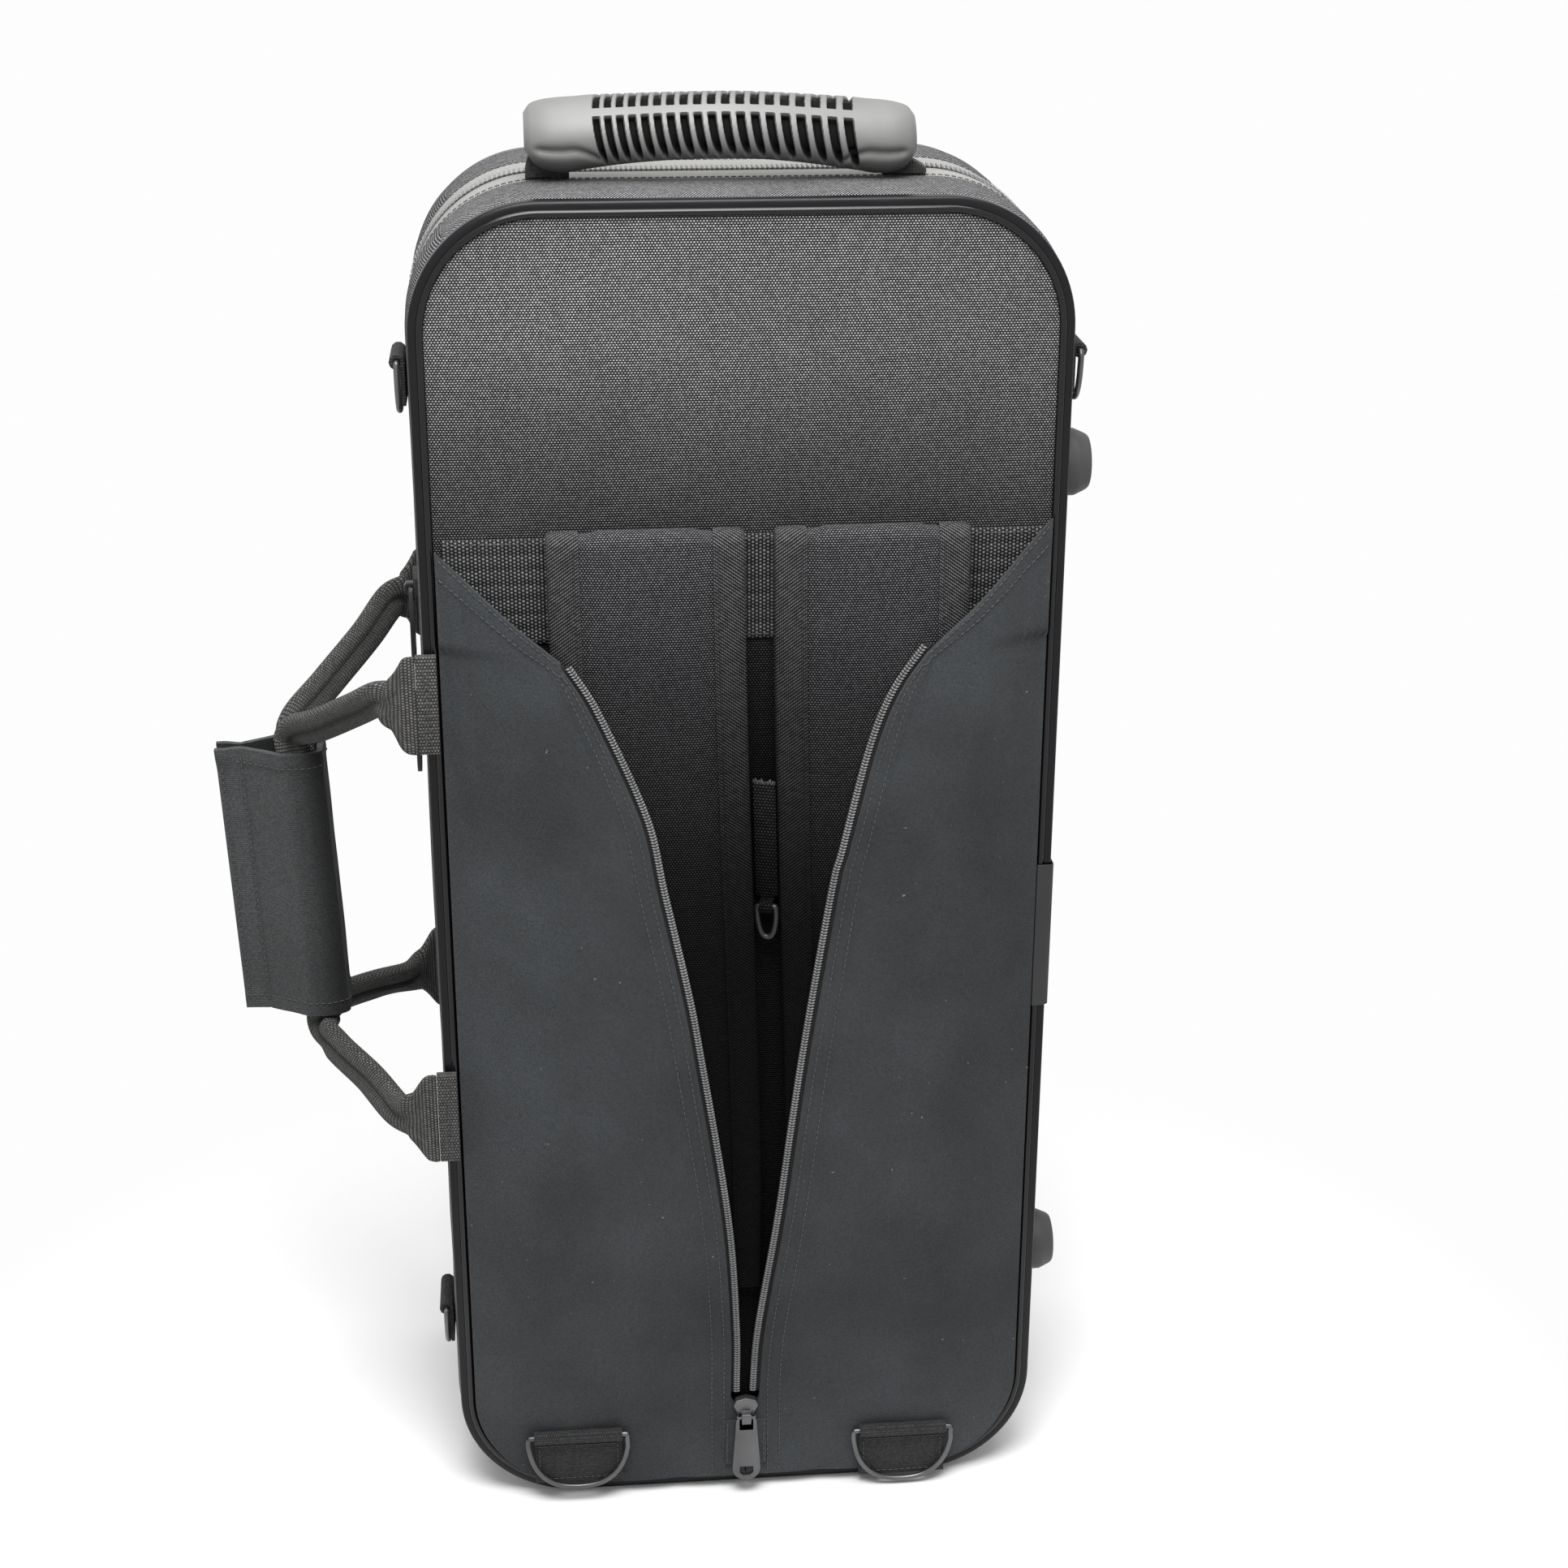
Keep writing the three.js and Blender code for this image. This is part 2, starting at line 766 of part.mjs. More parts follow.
// The handle with its right end lower, and the sewn foot of the webbing there moved outwards by a spread.
function sagged(geometry, spread = 0) {
  const copy = geometry.clone();
  const at = copy.attributes.position;
  const full = grip.rise * sagFullShare;
  for (let i = 0; i < at.count; i++) {
    const [x, z] = [at.getX(i), at.getZ(i)];
    if (x <= 0) continue;
    const up = smooth(z / full);
    at.setX(i, x + spread * (1 - up));
    at.setZ(i, z - grip.droop * smooth((2 * x) / grip.length) * up);
  }
  return outward(copy);
}

// Webbing that runs through the handle. At each end it turns down, and its wide side comes to the front.
function topWebbing() {
  const radius = gripWebbing.thickness / 2;
  const base = gripWebbing.baseWidth / 2;
  const end = base - grip.length / 2;
  const [, centre] = gripSections[3];
  const rows = gripSections.slice(4).map(([share, z]) => [(-share * grip.length) / 2, z]);
  const [x0] = rows[0];
  const climb = webbingShares.map(([along, up]) => [mix(end, x0, along), up * centre]);
  const line = [...climb, ...rows, [radius, rows.at(-1)[1]]].map(([x, z]) => vec(x, 0, z));
  const turns = line.map((_, i) => (i < webbingShares.length ? webbingShares[i][2] : 1));
  const axes = turns.map((t) => vec(0, Math.cos((t * Math.PI) / 2), Math.sin((t * Math.PI) / 2)));
  const section = (i) => {
    const w = mix(base, gripWebbing.width / 2, turns[i]);
    return rectangle(-w, w, -radius, radius);
  };
  const half = sweep(line, section, axes);
  const roll = new THREE.CylinderGeometry(radius, radius, gripWebbing.baseWidth, turnSteps);
  roll.rotateZ(Math.PI / 2);
  roll.translate(end, 0, 0);
  const left = joined(half, roll);
  return sagged(joined(left, mirrored(left, "x")), gripWebbing.rightSpread);
}

// Sewn end of the handle's webbing, on the tape behind the gusset's edge.
function topAnchor(side) {
  const spread = side > 0 ? gripWebbing.rightSpread : 0;
  const centre = side * (grip.length / 2 - gripWebbing.baseWidth / 2) + spread;
  const width = gripWebbing.baseWidth / 2;
  const points = rectangle(centre - width, centre + width, 0, gripWebbing.sewnThickness);
  return plate(points, gripWebbing.thickness / 2 + gap, gripWebbing.sewnLength);
}

function webbingBand() {
  const [bottom, top] = [atShare(band.bottomShare), atShare(band.topShare)];
  const back = fabricFace;
  const face = back - band.thickness;
  const steps = 2 * band.ribs;
  const ribbed = Array.from({ length: steps + 1 }, (_, i) => [
    i % 2 ? face - band.ribRise : face,
    mix(top, bottom, i / steps),
  ]);
  return prism([[back, bottom], [back, top], ...ribbed], 0, band.width);
}

// Centre line of a folded strap: up the back leaf, over the fold and down the front leaf, whose end is tucked in
// towards the panel.
function strapLine(back, front) {
  const top = atShare(strap.topShare) - strap.padThickness / 2 - strapPitch / 2;
  const radius = strapPitch / 2;
  const middle = strapBack - strap.padThickness / 2 - radius;
  const rise = strap.steps;
  const up = Array.from({ length: rise }, (_, i) => [middle + radius, mix(back, top, i / rise)]);
  const fold = Array.from({ length: turnSteps / 2 + 1 }, (_, i) => {
    const angle = (Math.PI * i) / (turnSteps / 2);
    return [middle + radius * Math.cos(angle), top + radius * Math.sin(angle)];
  });
  const tuck = atShare(strap.tuckShare);
  const ahead = middle - radius;
  const down = Array.from({ length: rise }, (_, i) => [ahead, mix(top, tuck, (i + 1) / rise)]);
  const tucked = Array.from({ length: rise }, (_, i) => {
    const t = (i + 1) / rise;
    return [ahead + strap.tuckDepth * smooth(t), mix(tuck, front, t)];
  });
  return [...up, ...fold, ...down, ...tucked];
}

// Sweep of [across, thickness] sections along a folded strap, which drifts sideways as it goes down.
function strapSweep(centre, drift, sections, trim = 0) {
  const line = strapLine(atShare(strap.backBottomShare) + trim, atShare(strap.bottomShare) + trim);
  const top = atShare(strap.topShare);
  const points = line.map(([y, z]) => {
    const sunk = (top - z) / (top - atShare(strap.bottomShare));
    return vec(centre + drift * smooth(sunk), y, z);
  });
  const flat = points.map((p) => vec(0, p.y, p.z));
  const rings = points.map((p, i) => {
    const before = flat[Math.max(i - 1, 0)];
    const after = flat[Math.min(i + 1, flat.length - 1)];
    const along = after.clone().sub(before).normalize();
    const thin = vec(0, -along.z, along.y);
    return sections.map(([x, t]) => vec(p.x + x, p.y + t * thin.y, p.z + t * thin.z));
  });
  return skin(rings);
}

function strapPad(centre, drift) {
  const half = strap.width / 2 - strap.bindingThickness - gap;
  const edge = strap.edgeThickness / 2;
  const seam = strap.width / 2 - strap.bindingWidth - gap;
  const full = strap.padThickness / 2;
  const upper = [
    [-half, edge],
    [-seam, edge],
    [-seam * strap.fullShare, full],
    [seam * strap.fullShare, full],
    [seam, edge],
    [half, edge],
  ];
  const lower = upper.map(([x, t]) => [x, -t]).reverse();
  return strapSweep(centre, drift, [...upper, ...lower]);
}

// Folded binding tape round one edge of a strap.
function strapBinding(centre, drift, side) {
  const outer = strap.width / 2;
  const inner = outer - strap.bindingWidth;
  const t = strap.edgeThickness / 2 + gap;
  const over = t + strap.bindingThickness;
  const bottom = outer - strap.bindingThickness;
  const section = [
    [inner, over],
    [outer, over],
    [outer, -over],
    [inner, -over],
    [inner, -t],
    [bottom, -t],
    [bottom, t],
    [inner, t],
  ].map(([x, y]) => [side * x, y]);
  return strapSweep(centre, drift, section, gap);
}

// Closed loop of wire: a straight bar along the wide direction and a bow that hangs from it.
function dRing(width, drop) {
  const half = width / 2 - ringWire / 2;
  const low = drop - ringWire / 2;
  const bow = Array.from({ length: turnSteps + 3 }, (_, i) => {
    const angle = (Math.PI * i) / (turnSteps + 2);
    const shape = Math.abs(Math.cos(angle)) ** 0.8 * Math.sign(Math.cos(angle));
    return vec(half * shape, 0, -low * Math.sin(angle) ** 0.9);
  });
  const section = circle(0, 0, ringWire / 2, wireSides);
  return sweep(bow, () => section, vec(0, 1, 0), true);
}

// Webbing tab in the YZ plane: a sewn strip below, and an eye that holds the ring's bar at its origin.
function ringTab(width, length) {
  const bore = ringWire / 2 + gap;
  const outer = bore + frontTab.thickness;
  const eye = circle(0, 0, outer, turnSteps);
  const strip = rectangle(outer - frontTab.thickness, outer, -length, 0);
  return cut(
    joined(prism(eye, 0, width), prism(strip, 0, width)),
    prism(circle(0, 0, bore, turnSteps), 0, 2 * width),
  );
}

// Slider on a zip that runs along Z, on a wall that faces -Y: a body with a nose and a bridge for the pull.
function sliderBody() {
  const { width, length, thickness, bridgeWidth, bridgeWall } = slider;
  const right = sliderShares.map(([x, z]) => [x * width, z * length]);
  const left = right.map(([x, z]) => [-x, z]).reverse();
  const points = [...right, [0, length / 2], ...left];
  const body = plate(points, -thickness, thickness);
  const far = -thickness - 2 * bridgeInside;
  const z = bridgeHeight;
  const reach = bridgeInside + bridgeWall;
  const arch = prism(
    [
      [-thickness / 2, z - reach],
      [far - bridgeWall / 2, z - reach],
      [far - bridgeWall, z - bridgeInside],
      [far - bridgeWall, z + bridgeInside],
      [far - bridgeWall / 2, z + reach],
      [-thickness / 2, z + reach],
    ],
    0,
    bridgeWidth,
  );
  const hole = prism(rectangle(far, -thickness, z - bridgeInside, z + bridgeInside), 0, 2 * bridgeWidth);
  return joined(body, cut(arch, hole));
}

// Pull that hangs from the bridge: its top bar lies in the bridge, at the origin.
function pullTab() {
  const { length, topWidth, bottomWidth, thickness, barHalf, eye, slot } = pull;
  const bottom = barHalf - length;
  const round = bottomWidth / 2;
  const arc = Array.from({ length: turnSteps + 1 }, (_, i) => {
    const angle = Math.PI * (1 + i / turnSteps);
    return [round * Math.cos(angle), bottom + round + round * Math.sin(angle)];
  });
  const half = slot / 2;
  const cheeks = [
    [topWidth / 2, -barHalf],
    [half, barHalf],
    [half, -barHalf - eye],
    [-half, -barHalf - eye],
    [-half, barHalf],
    [-topWidth / 2, -barHalf],
  ];
  const slotHigh = bottom + round + barHalf;
  const dSlot = [
    [half, slotHigh],
    [-half, slotHigh],
    [-half, slotHigh - half],
    [-half / 2, slotHigh - 1.5 * half],
    [half / 2, slotHigh - 1.5 * half],
    [half, slotHigh - half],
  ];
  const blank = plate([...arc, ...cheeks], -thickness / 2, thickness);
  const bar = new THREE.CylinderGeometry(barHalf, barHalf, slot + gap, turnSteps);
  bar.rotateZ(Math.PI / 2);
  return joined(cut(blank, plate(dSlot, -thickness, 2 * thickness)), bar);
}

// Place of the pocket's cloth along y: low at the case's edge, and over the straps at the free edge.
function flapHeight(x, z) {
  const fromEdge = smooth((outerX - piping.faceWidth - Math.abs(x)) / flap.rollWidth);
  const { bulgeBottomShare, bulgeFullShare } = flap;
  const rise = smooth((z / caseHeight - bulgeBottomShare) / (bulgeFullShare - bulgeBottomShare));
  const overBand = smooth((z - bandLiftStart) / band.thickness);
  const low = flapLow - flap.settle * fromEdge - overBand * (band.thickness + band.ribRise + gap);
  const folds = flap.fold * fromEdge * (1 - rise) * Math.sin((Math.PI * flap.folds * x) / outerX);
  return mix(low, mix(low, flapHigh, fromEdge), rise) - Math.abs(folds);
}

// X of the pocket's outer edge, inside the piping, at a height.
function innerEdge(z) {
  const half = outerX - flapMargin;
  const radius = cornerRadius - flapMargin;
  const low = flapMargin + radius;
  if (z >= low) return half;
  return half - radius + Math.sqrt(Math.max(radius ** 2 - (low - z) ** 2, 0));
}

// Cloth flap between the edge of the case and the line of the coil. Below the zip the two flaps meet.
function pocketFlap(side, coilLine) {
  const { columns } = flap;
  const topZ = atShare(side < 0 ? flap.leftHemTopShare : flap.rightHemTopShare);
  const toShare = (z) => (z - flapMargin) / (topZ - flapMargin);
  const liftEnd = bandLiftStart + band.thickness;
  const lifted = [bandLiftStart, liftEnd, mix(liftEnd, topZ, 0.5), topZ].map(toShare);
  const freeTop = atShare(flap.zipTopShare);
  const freeShare = (z) => (z - flapMargin) / (freeTop - flapMargin);
  const [closed, open] = [freeShare(patchTop), freeShare(pocketZipStart - gap)];
  const climb = Array.from({ length: flap.rows }, (_, r) => mix(open, lifted[0], r / flap.rows));
  const shares = [0, closed, ...climb, ...lifted];
  const away = pocketZip.coilWidth / 2 + pocketZip.tapeWidth - pocketZip.overlap;
  const grid = (offset) =>
    shares.map((share) => {
      const edgeZ = mix(flapMargin, topZ, share);
      const freeZ = mix(flapMargin, freeTop, share);
      const edgeX = side * innerEdge(edgeZ);
      const openX = lookUp(coilLine, freeZ / caseHeight) + side * away;
      const freeX = share <= closed ? pocketSlider.x + side * gap : openX;
      return Array.from({ length: columns + 1 }, (_, c) => {
        const t = c / columns;
        const [x, z] = [mix(edgeX, freeX, t), mix(edgeZ, freeZ, t)];
        return vec(x, flapHeight(x, z) - offset, z);
      });
    });
  const face = grid(flap.thickness);
  return skin(grid(0).map((back, r) => [...back, ...face[r].reverse()]));
}

// Half of the pocket's zip: tape and coil on the free edge of a flap, from the slider to the hem.
function pocketZipHalf(side, coilLine) {
  const from = pocketZipStart / caseHeight;
  const to = coilLine.at(-1)[0];
  const steps = pocketZip.steps;
  const { tapeWidth, tapeThickness, coilWidth, coilThickness, coilBackThickness } = pocketZip;
  const far = coilWidth / 2 + tapeWidth;
  const rings = Array.from({ length: steps + 1 }, (_, i) => {
    const share = mix(from, to, i / steps);
    const x = lookUp(coilLine, share);
    const z = atShare(share);
    const seat = (offset) => flapHeight(x + side * offset, z) + 2 * gap;
    const near = seat(coilWidth / 2);
    const back = tapeThickness;
    return [
      vec(x - (side * coilWidth) / 2, near + back, z),
      vec(x - (side * coilWidth) / 2, near + back - coilBackThickness, z),
      vec(x - (side * coilWidth) / 4, near + back - coilThickness, z),
      vec(x + (side * coilWidth) / 4, near + back - coilThickness, z),
      vec(x + (side * coilWidth) / 2, near + back - coilBackThickness, z),
      vec(x + (side * coilWidth) / 2, near, z),
      vec(x + side * (far - tapeWidth / 2), seat(far - tapeWidth / 2), z),
      vec(x + side * far, seat(far), z),
      vec(x + side * far, seat(far) + back, z),
      vec(x + side * (far - tapeWidth / 2), seat(far - tapeWidth / 2) + back, z),
    ];
  });
  return skin(rings);
}

function pocketPatch() {
  const { left, right, bottomShare, thickness } = endPatch;
  const points = rectangle(left, right, atShare(bottomShare), patchTop);
  return plate(points, flapFront - gap - thickness, thickness);
}

// Rows [x, y, z, flatness] of the carry loop, from its upper tab to its lower tab through the wrap.
function carryLine() {
  const x = -outerX - carry.tabReach;
  const gripX = -outerX - carry.gripX;
  const lowX = gripX + wrap.lean;
  const [up, low] = [atShare(carry.upperShare), atShare(carry.lowerShare)];
  const [top, bottom] = [atShare(wrap.topShare), atShare(wrap.bottomShare)];
  const rowsFrom = (shares, start, wrapEnd) =>
    shares.map(([reach, round, drop, flatness]) => [
      mix(x, gripX, reach),
      mix(tabY, -carry.gripY, round),
      mix(start, wrapEnd, drop),
      flatness,
    ]);
  const inWrap = [
    [gripX, top + carry.lead],
    [gripX, top - carry.lead],
    [mix(gripX, lowX, 0.5), mix(top, bottom, 0.5)],
    [lowX, bottom + carry.lead],
    [lowX, bottom - carry.lead],
  ].map(([at, z]) => [at, -carry.gripY, z, 0]);
  const upper = rowsFrom(carryUpperShares, up, top + carry.lead);
  const lower = rowsFrom(carryLowerShares, low, bottom - carry.lead);
  return [...upper, ...inWrap, ...lower.reverse()];
}

// The loop, whose ends are rolled round the line that they fold on.
function carryLoop() {
  const rows = carryLine();
  const curve = new THREE.CatmullRomCurve3(rows.map(([x, y, z]) => vec(x, y, z)), false, "centripetal");
  const steps = 2 * (rows.length - 1);
  const points = Array.from({ length: steps + 1 }, (_, i) => curve.getPoint(i / steps));
  const flatness = (i) => {
    const at = (i / steps) * (rows.length - 1);
    const low = Math.min(Math.floor(at), rows.length - 2);
    return mix(rows[low][3], rows[low + 1][3], at - low);
  };
  const section = (i) => {
    const share = flatness(i);
    const w = mix(carry.roundWide, carry.tabWidth, share) / 2;
    const t = mix(carry.roundThin, carry.flat, share) / 2;
    const inner = w * carry.fullShare;
    return [
      [-w, -t / 2],
      [-w, t / 2],
      [-inner, t],
      [inner, t],
      [w, t / 2],
      [w, -t / 2],
      [inner, -t],
      [-inner, -t],
    ];
  };
  const axes = points.map((_, i) => vec(carry.splay * flatness(i), 1, 0));
  const strap = sweep(points, section, axes);
  const rolls = [rows[0], rows.at(-1)].map(([x, y, z]) => {
    const roll = new THREE.CylinderGeometry(carry.flat / 2, carry.flat / 2, carry.tabWidth, turnSteps);
    roll.rotateX(Math.PI / 2);
    roll.translate(x, y, z);
    return roll;
  });
  return joined(strap, ...rolls);
}

// Tab of the carry handle: sewn on the panel's edge, over the piping.
function carryTab(share) {
  const z = atShare(share);
  const inner = -outerX + carry.tabPanelReach;
  const outer = -outerX - carry.tabReach + carry.flat / 2 + gap;
  const points = rectangle(outer, inner, z - carry.tabWidth / 2, z + carry.tabWidth / 2);
  const front = tabY - carry.tabThickness / 2;
  return plate(points, front, frontY - gap - front);
}

// One leaf of the wrap: from the flat fin at the outside, over one loop, to the fold at the inside.
function wrapLeaf() {
  const { thickness, fin, lean, leaf, seamShare, steps } = wrap;
  const half = carry.roundWide / 2;
  const side = half + 3 * gap;
  const centre = -outerX - carry.gripX;
  const tip = -outerX - fin;
  const seam = mix(tip, centre - side, seamShare);
  const shoulder = -carry.gripY - carry.roundThin / 3;
  const crown = half - thickness;
  const outside = [
    [tip, -gap],
    [tip, -gap - thickness],
    [seam, -gap - 1.5 * thickness],
    [centre - side - thickness, shoulder],
    [centre - crown, -leaf],
    [centre + crown, -leaf],
    [centre + side + thickness, shoulder],
    [centre + side + thickness, -gap],
  ];
  const inside = [
    [centre + side, -gap],
    [centre + side, shoulder],
    [centre + crown, -leaf + thickness],
    [centre - crown, -leaf + thickness],
    [centre - side, shoulder],
    [centre - side, -gap],
  ];
  const [bottom, top] = [atShare(wrap.bottomShare), atShare(wrap.topShare)];
  const rings = Array.from({ length: steps + 1 }, (_, i) => {
    const t = i / steps;
    const z = mix(top, bottom, t);
    return [...outside, ...inside].map(([x, y]) => vec(x + lean * t, y, z));
  });
  return skin(rings);
}

// Rubber foot with a dished face.
function rubberFoot() {
  const { radius, rim, height, round, dish, dishRadius } = foot;
  const profile = [
    [0, 0],
    [radius, 0],
    [radius, height / 2],
    [rim + round, height - round],
    [rim, height],
    [dishRadius, height],
    [dishRadius - dish, height - dish],
    [0, height - dish],
  ].map(([x, y]) => new THREE.Vector2(x, y));
  return outward(new THREE.LatheGeometry(profile, 2 * turnSteps));
}

// Tail of webbing between the straps, with an eye for its ring at the origin.
function tailWebbing() {
  const bore = ringWire / 2 + gap;
  const outer = bore + tail.thickness;
  const eye = circle(0, 0, outer, turnSteps);
  const neck = rectangle(outer - tail.thickness, outer, 0, tail.eyeLength);
  const strip = rectangle(outer - tail.thickness, outer, tail.eyeLength, tail.length);
  const pieces = [prism(eye, 0, tail.eyeWidth), prism(neck, 0, tail.eyeWidth), prism(strip, 0, tail.width)];
  return cut(joined(...pieces), prism(circle(0, 0, bore, turnSteps), 0, 2 * tail.width));
}

const fabric = { color: 0x3c3d40, roughness: 0.92, metalness: 0 };
const smoothFabric = { color: 0x42464a, roughness: 0.88, metalness: 0 };
const webbingLook = { color: 0x3a3a3b, roughness: 0.85, metalness: 0 };
const bindingLook = { color: 0x38393b, roughness: 0.8, metalness: 0 };
const vinyl = { color: 0x141416, roughness: 0.25, metalness: 0 };
const zipLook = { color: 0x4a4a4c, roughness: 0.6, metalness: 0 };
const coilLook = { color: 0x303032, roughness: 0.35, metalness: 0 };
const plush = { color: 0x1c1c20, roughness: 1, metalness: 0 };
const rubber = { color: 0x4c4d4e, roughness: 0.6, metalness: 0 };
const gunmetal = { color: 0x4a4a4c, roughness: 0.35, metalness: 0.85 };
const sleeveLook = { color: 0x55565a, roughness: 0.4, metalness: 0 };

const trumpetCase = new THREE.Group();

function add(name, geometry, look, parent = trumpetCase) {
  const shaded = toCreasedNormals(geometry, creaseAngle);
  const mesh = new THREE.Mesh(shaded, new THREE.MeshStandardMaterial(look));
  mesh.name = name;
  parent.add(mesh);
  return mesh;
}

// A group placed on the part, for pieces drawn about an origin of their own.
function place(x, y, z, turn = 0, tilt = 0, lean = 0) {
  const group = new THREE.Group();
  group.position.set(x, y, z);
  group.rotation.set(tilt, lean, turn, "ZYX");
  trumpetCase.add(group);
  return group;
}

add("body_shell", shellHalf(), fabric);
add("lid_shell", mirrored(shellHalf(), "y"), fabric);
add("body_piping", pipingRing(), vinyl);
add("lid_piping", mirrored(pipingRing(), "y"), vinyl);
add("piping_sleeve", pipingSleeve(), sleeveLook);
add("body_zip_tape", zipTape(), zipLook);
add("lid_zip_tape", mirrored(zipTape(), "y"), zipLook);
add("body_zip_coil", zipCoil(), coilLook);
add("lid_zip_coil", mirrored(zipCoil(), "y"), coilLook);
add("body_hinge_tape", hingeTape(), fabric);
add("lid_hinge_tape", mirrored(hingeTape(), "y"), fabric);
add("body_insert", bodyInsert(), plush);
add("lid_liner", lidLiner(), plush);

const pivotY = -grip.pivotInset;
const pivotZ = caseHeight + gussetBulge / 2 + 2 * gap + gripWebbing.thickness / 2;
const handle = place(grip.shift, pivotY, pivotZ, 0, grip.lean);
add("top_handle_grip", topGrip(), rubber, handle);
add("top_handle_webbing", topWebbing(), webbingLook, handle);
const anchors = place(grip.shift, pivotY, caseHeight + tape.proud + gap);
add("top_handle_anchor_left", topAnchor(-1), webbingLook, anchors);
add("top_handle_anchor_right", topAnchor(1), webbingLook, anchors);

add("webbing_band", webbingBand(), webbingLook);
for (const [name, centre, drift] of [
  ["left", strap.leftInner - strap.width / 2, strap.leftDrift],
  ["right", strap.rightInner + strap.width / 2, strap.rightDrift],
]) {
  add("strap_" + name + "_pad", strapPad(centre, drift), fabric);
  add("strap_" + name + "_binding_left", strapBinding(centre, drift, -1), bindingLook);
  add("strap_" + name + "_binding_right", strapBinding(centre, drift, 1), bindingLook);
}
const tailZ = atShare(tail.topShare) - tail.length;
const tailPlace = place(tail.x, mix(strapBack, strapFront, 0.5), tailZ, tail.turn, 0, tail.lean);
add("strap_tail_webbing", tailWebbing(), webbingLook, tailPlace);
add("strap_tail_ring", dRing(tail.ringWidth, tail.ringDrop), gunmetal, tailPlace);

add("pocket_flap_left", pocketFlap(-1, leftCoil), smoothFabric);
add("pocket_flap_right", pocketFlap(1, rightCoil), smoothFabric);
add("pocket_zip_left", pocketZipHalf(-1, leftCoil), zipLook);
add("pocket_zip_right", pocketZipHalf(1, rightCoil), zipLook);
add("pocket_end_patch", pocketPatch(), smoothFabric);
const pocketPlace = place(pocketSlider.x, flapFront, atShare(pocketSlider.share));
add("pocket_slider", sliderBody(), gunmetal, pocketPlace);
const pocketPullZ = atShare(pocketSlider.share) + bridgeHeight;
const pocketPull = place(pocketSlider.x, flapFront - pullOffset, pocketPullZ);
add("pocket_pull", pullTab(), gunmetal, pocketPull);

for (const [name, x, share] of [
  ["left", frontRing.leftX, frontRing.leftShare],
  ["right", frontRing.rightX, frontRing.rightShare],
]) {
  const spot = place(x, flapFront - 2 * gap - tabStandOff, atShare(share));
  add("ring_tab_" + name, ringTab(frontRing.tabWidth, frontTab.length), webbingLook, spot);
  add("d_ring_" + name, dRing(frontRing.width, frontRing.drop), gunmetal, spot);
}

for (const [name, side, share] of [
  ["lower_left", -1, sideRing.lowShare],
  ["upper_left", -1, sideRing.highShare],
  ["upper_right", 1, sideRing.highShare],
]) {
  const x = side * (outerX + gussetBulge + gap + tabStandOff);
  const spot = place(x, -caseDepth / 2 + sideRing.inset, atShare(share), (side * Math.PI) / 2);
  add("side_tab_" + name, ringTab(sideRing.tabWidth, sideRing.tabLength), webbingLook, spot);
  add("side_ring_" + name, dRing(sideRing.width, sideRing.drop), gunmetal, spot);
}

const wallX = -outerX - coil.proud - gap;
for (const [name, share] of [
  ["upper", mainSliders.upperShare],
  ["lower", mainSliders.lowerShare],
]) {
  const z = atShare(share);
  add("main_slider_" + name, sliderBody(), gunmetal, place(wallX, 0, z, -Math.PI / 2));
  add("main_pull_" + name, pullTab(), gunmetal, place(wallX - pullOffset, 0, z + bridgeHeight, -Math.PI / 2));
}

add("carry_tab_front_upper", carryTab(carry.upperShare), webbingLook);
add("carry_tab_front_lower", carryTab(carry.lowerShare), webbingLook);
add("carry_tab_rear_upper", mirrored(carryTab(carry.upperShare), "y"), webbingLook);
add("carry_tab_rear_lower", mirrored(carryTab(carry.lowerShare), "y"), webbingLook);
add("carry_loop_front", carryLoop(), webbingLook);
add("carry_loop_rear", mirrored(carryLoop(), "y"), webbingLook);
add("carry_wrap_front", wrapLeaf(), smoothFabric);
add("carry_wrap_rear", mirrored(wrapLeaf(), "y"), smoothFabric);

for (const [name, side, share] of [
  ["front_upper", -1, foot.highShare],
  ["front_lower", -1, foot.lowShare],
  ["rear_upper", 1, foot.highShare],
  ["rear_lower", 1, foot.lowShare],
]) {
  const y = side * (caseDepth / 2 - foot.inset);
  const spot = place(outerX + gussetBulge + gap, y, atShare(share), -Math.PI / 2);
  add("foot_" + name, rubberFoot(), rubber, spot);
}

// The frame's origin lies on the floor, under the middle of the pocket half.
trumpetCase.position.y = -mix(gussetStart, gussetEnd, 0.5);

export default trumpetCase;
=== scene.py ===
import math
import random

import bmesh
import bpy
from mathutils import Matrix, Vector, noise


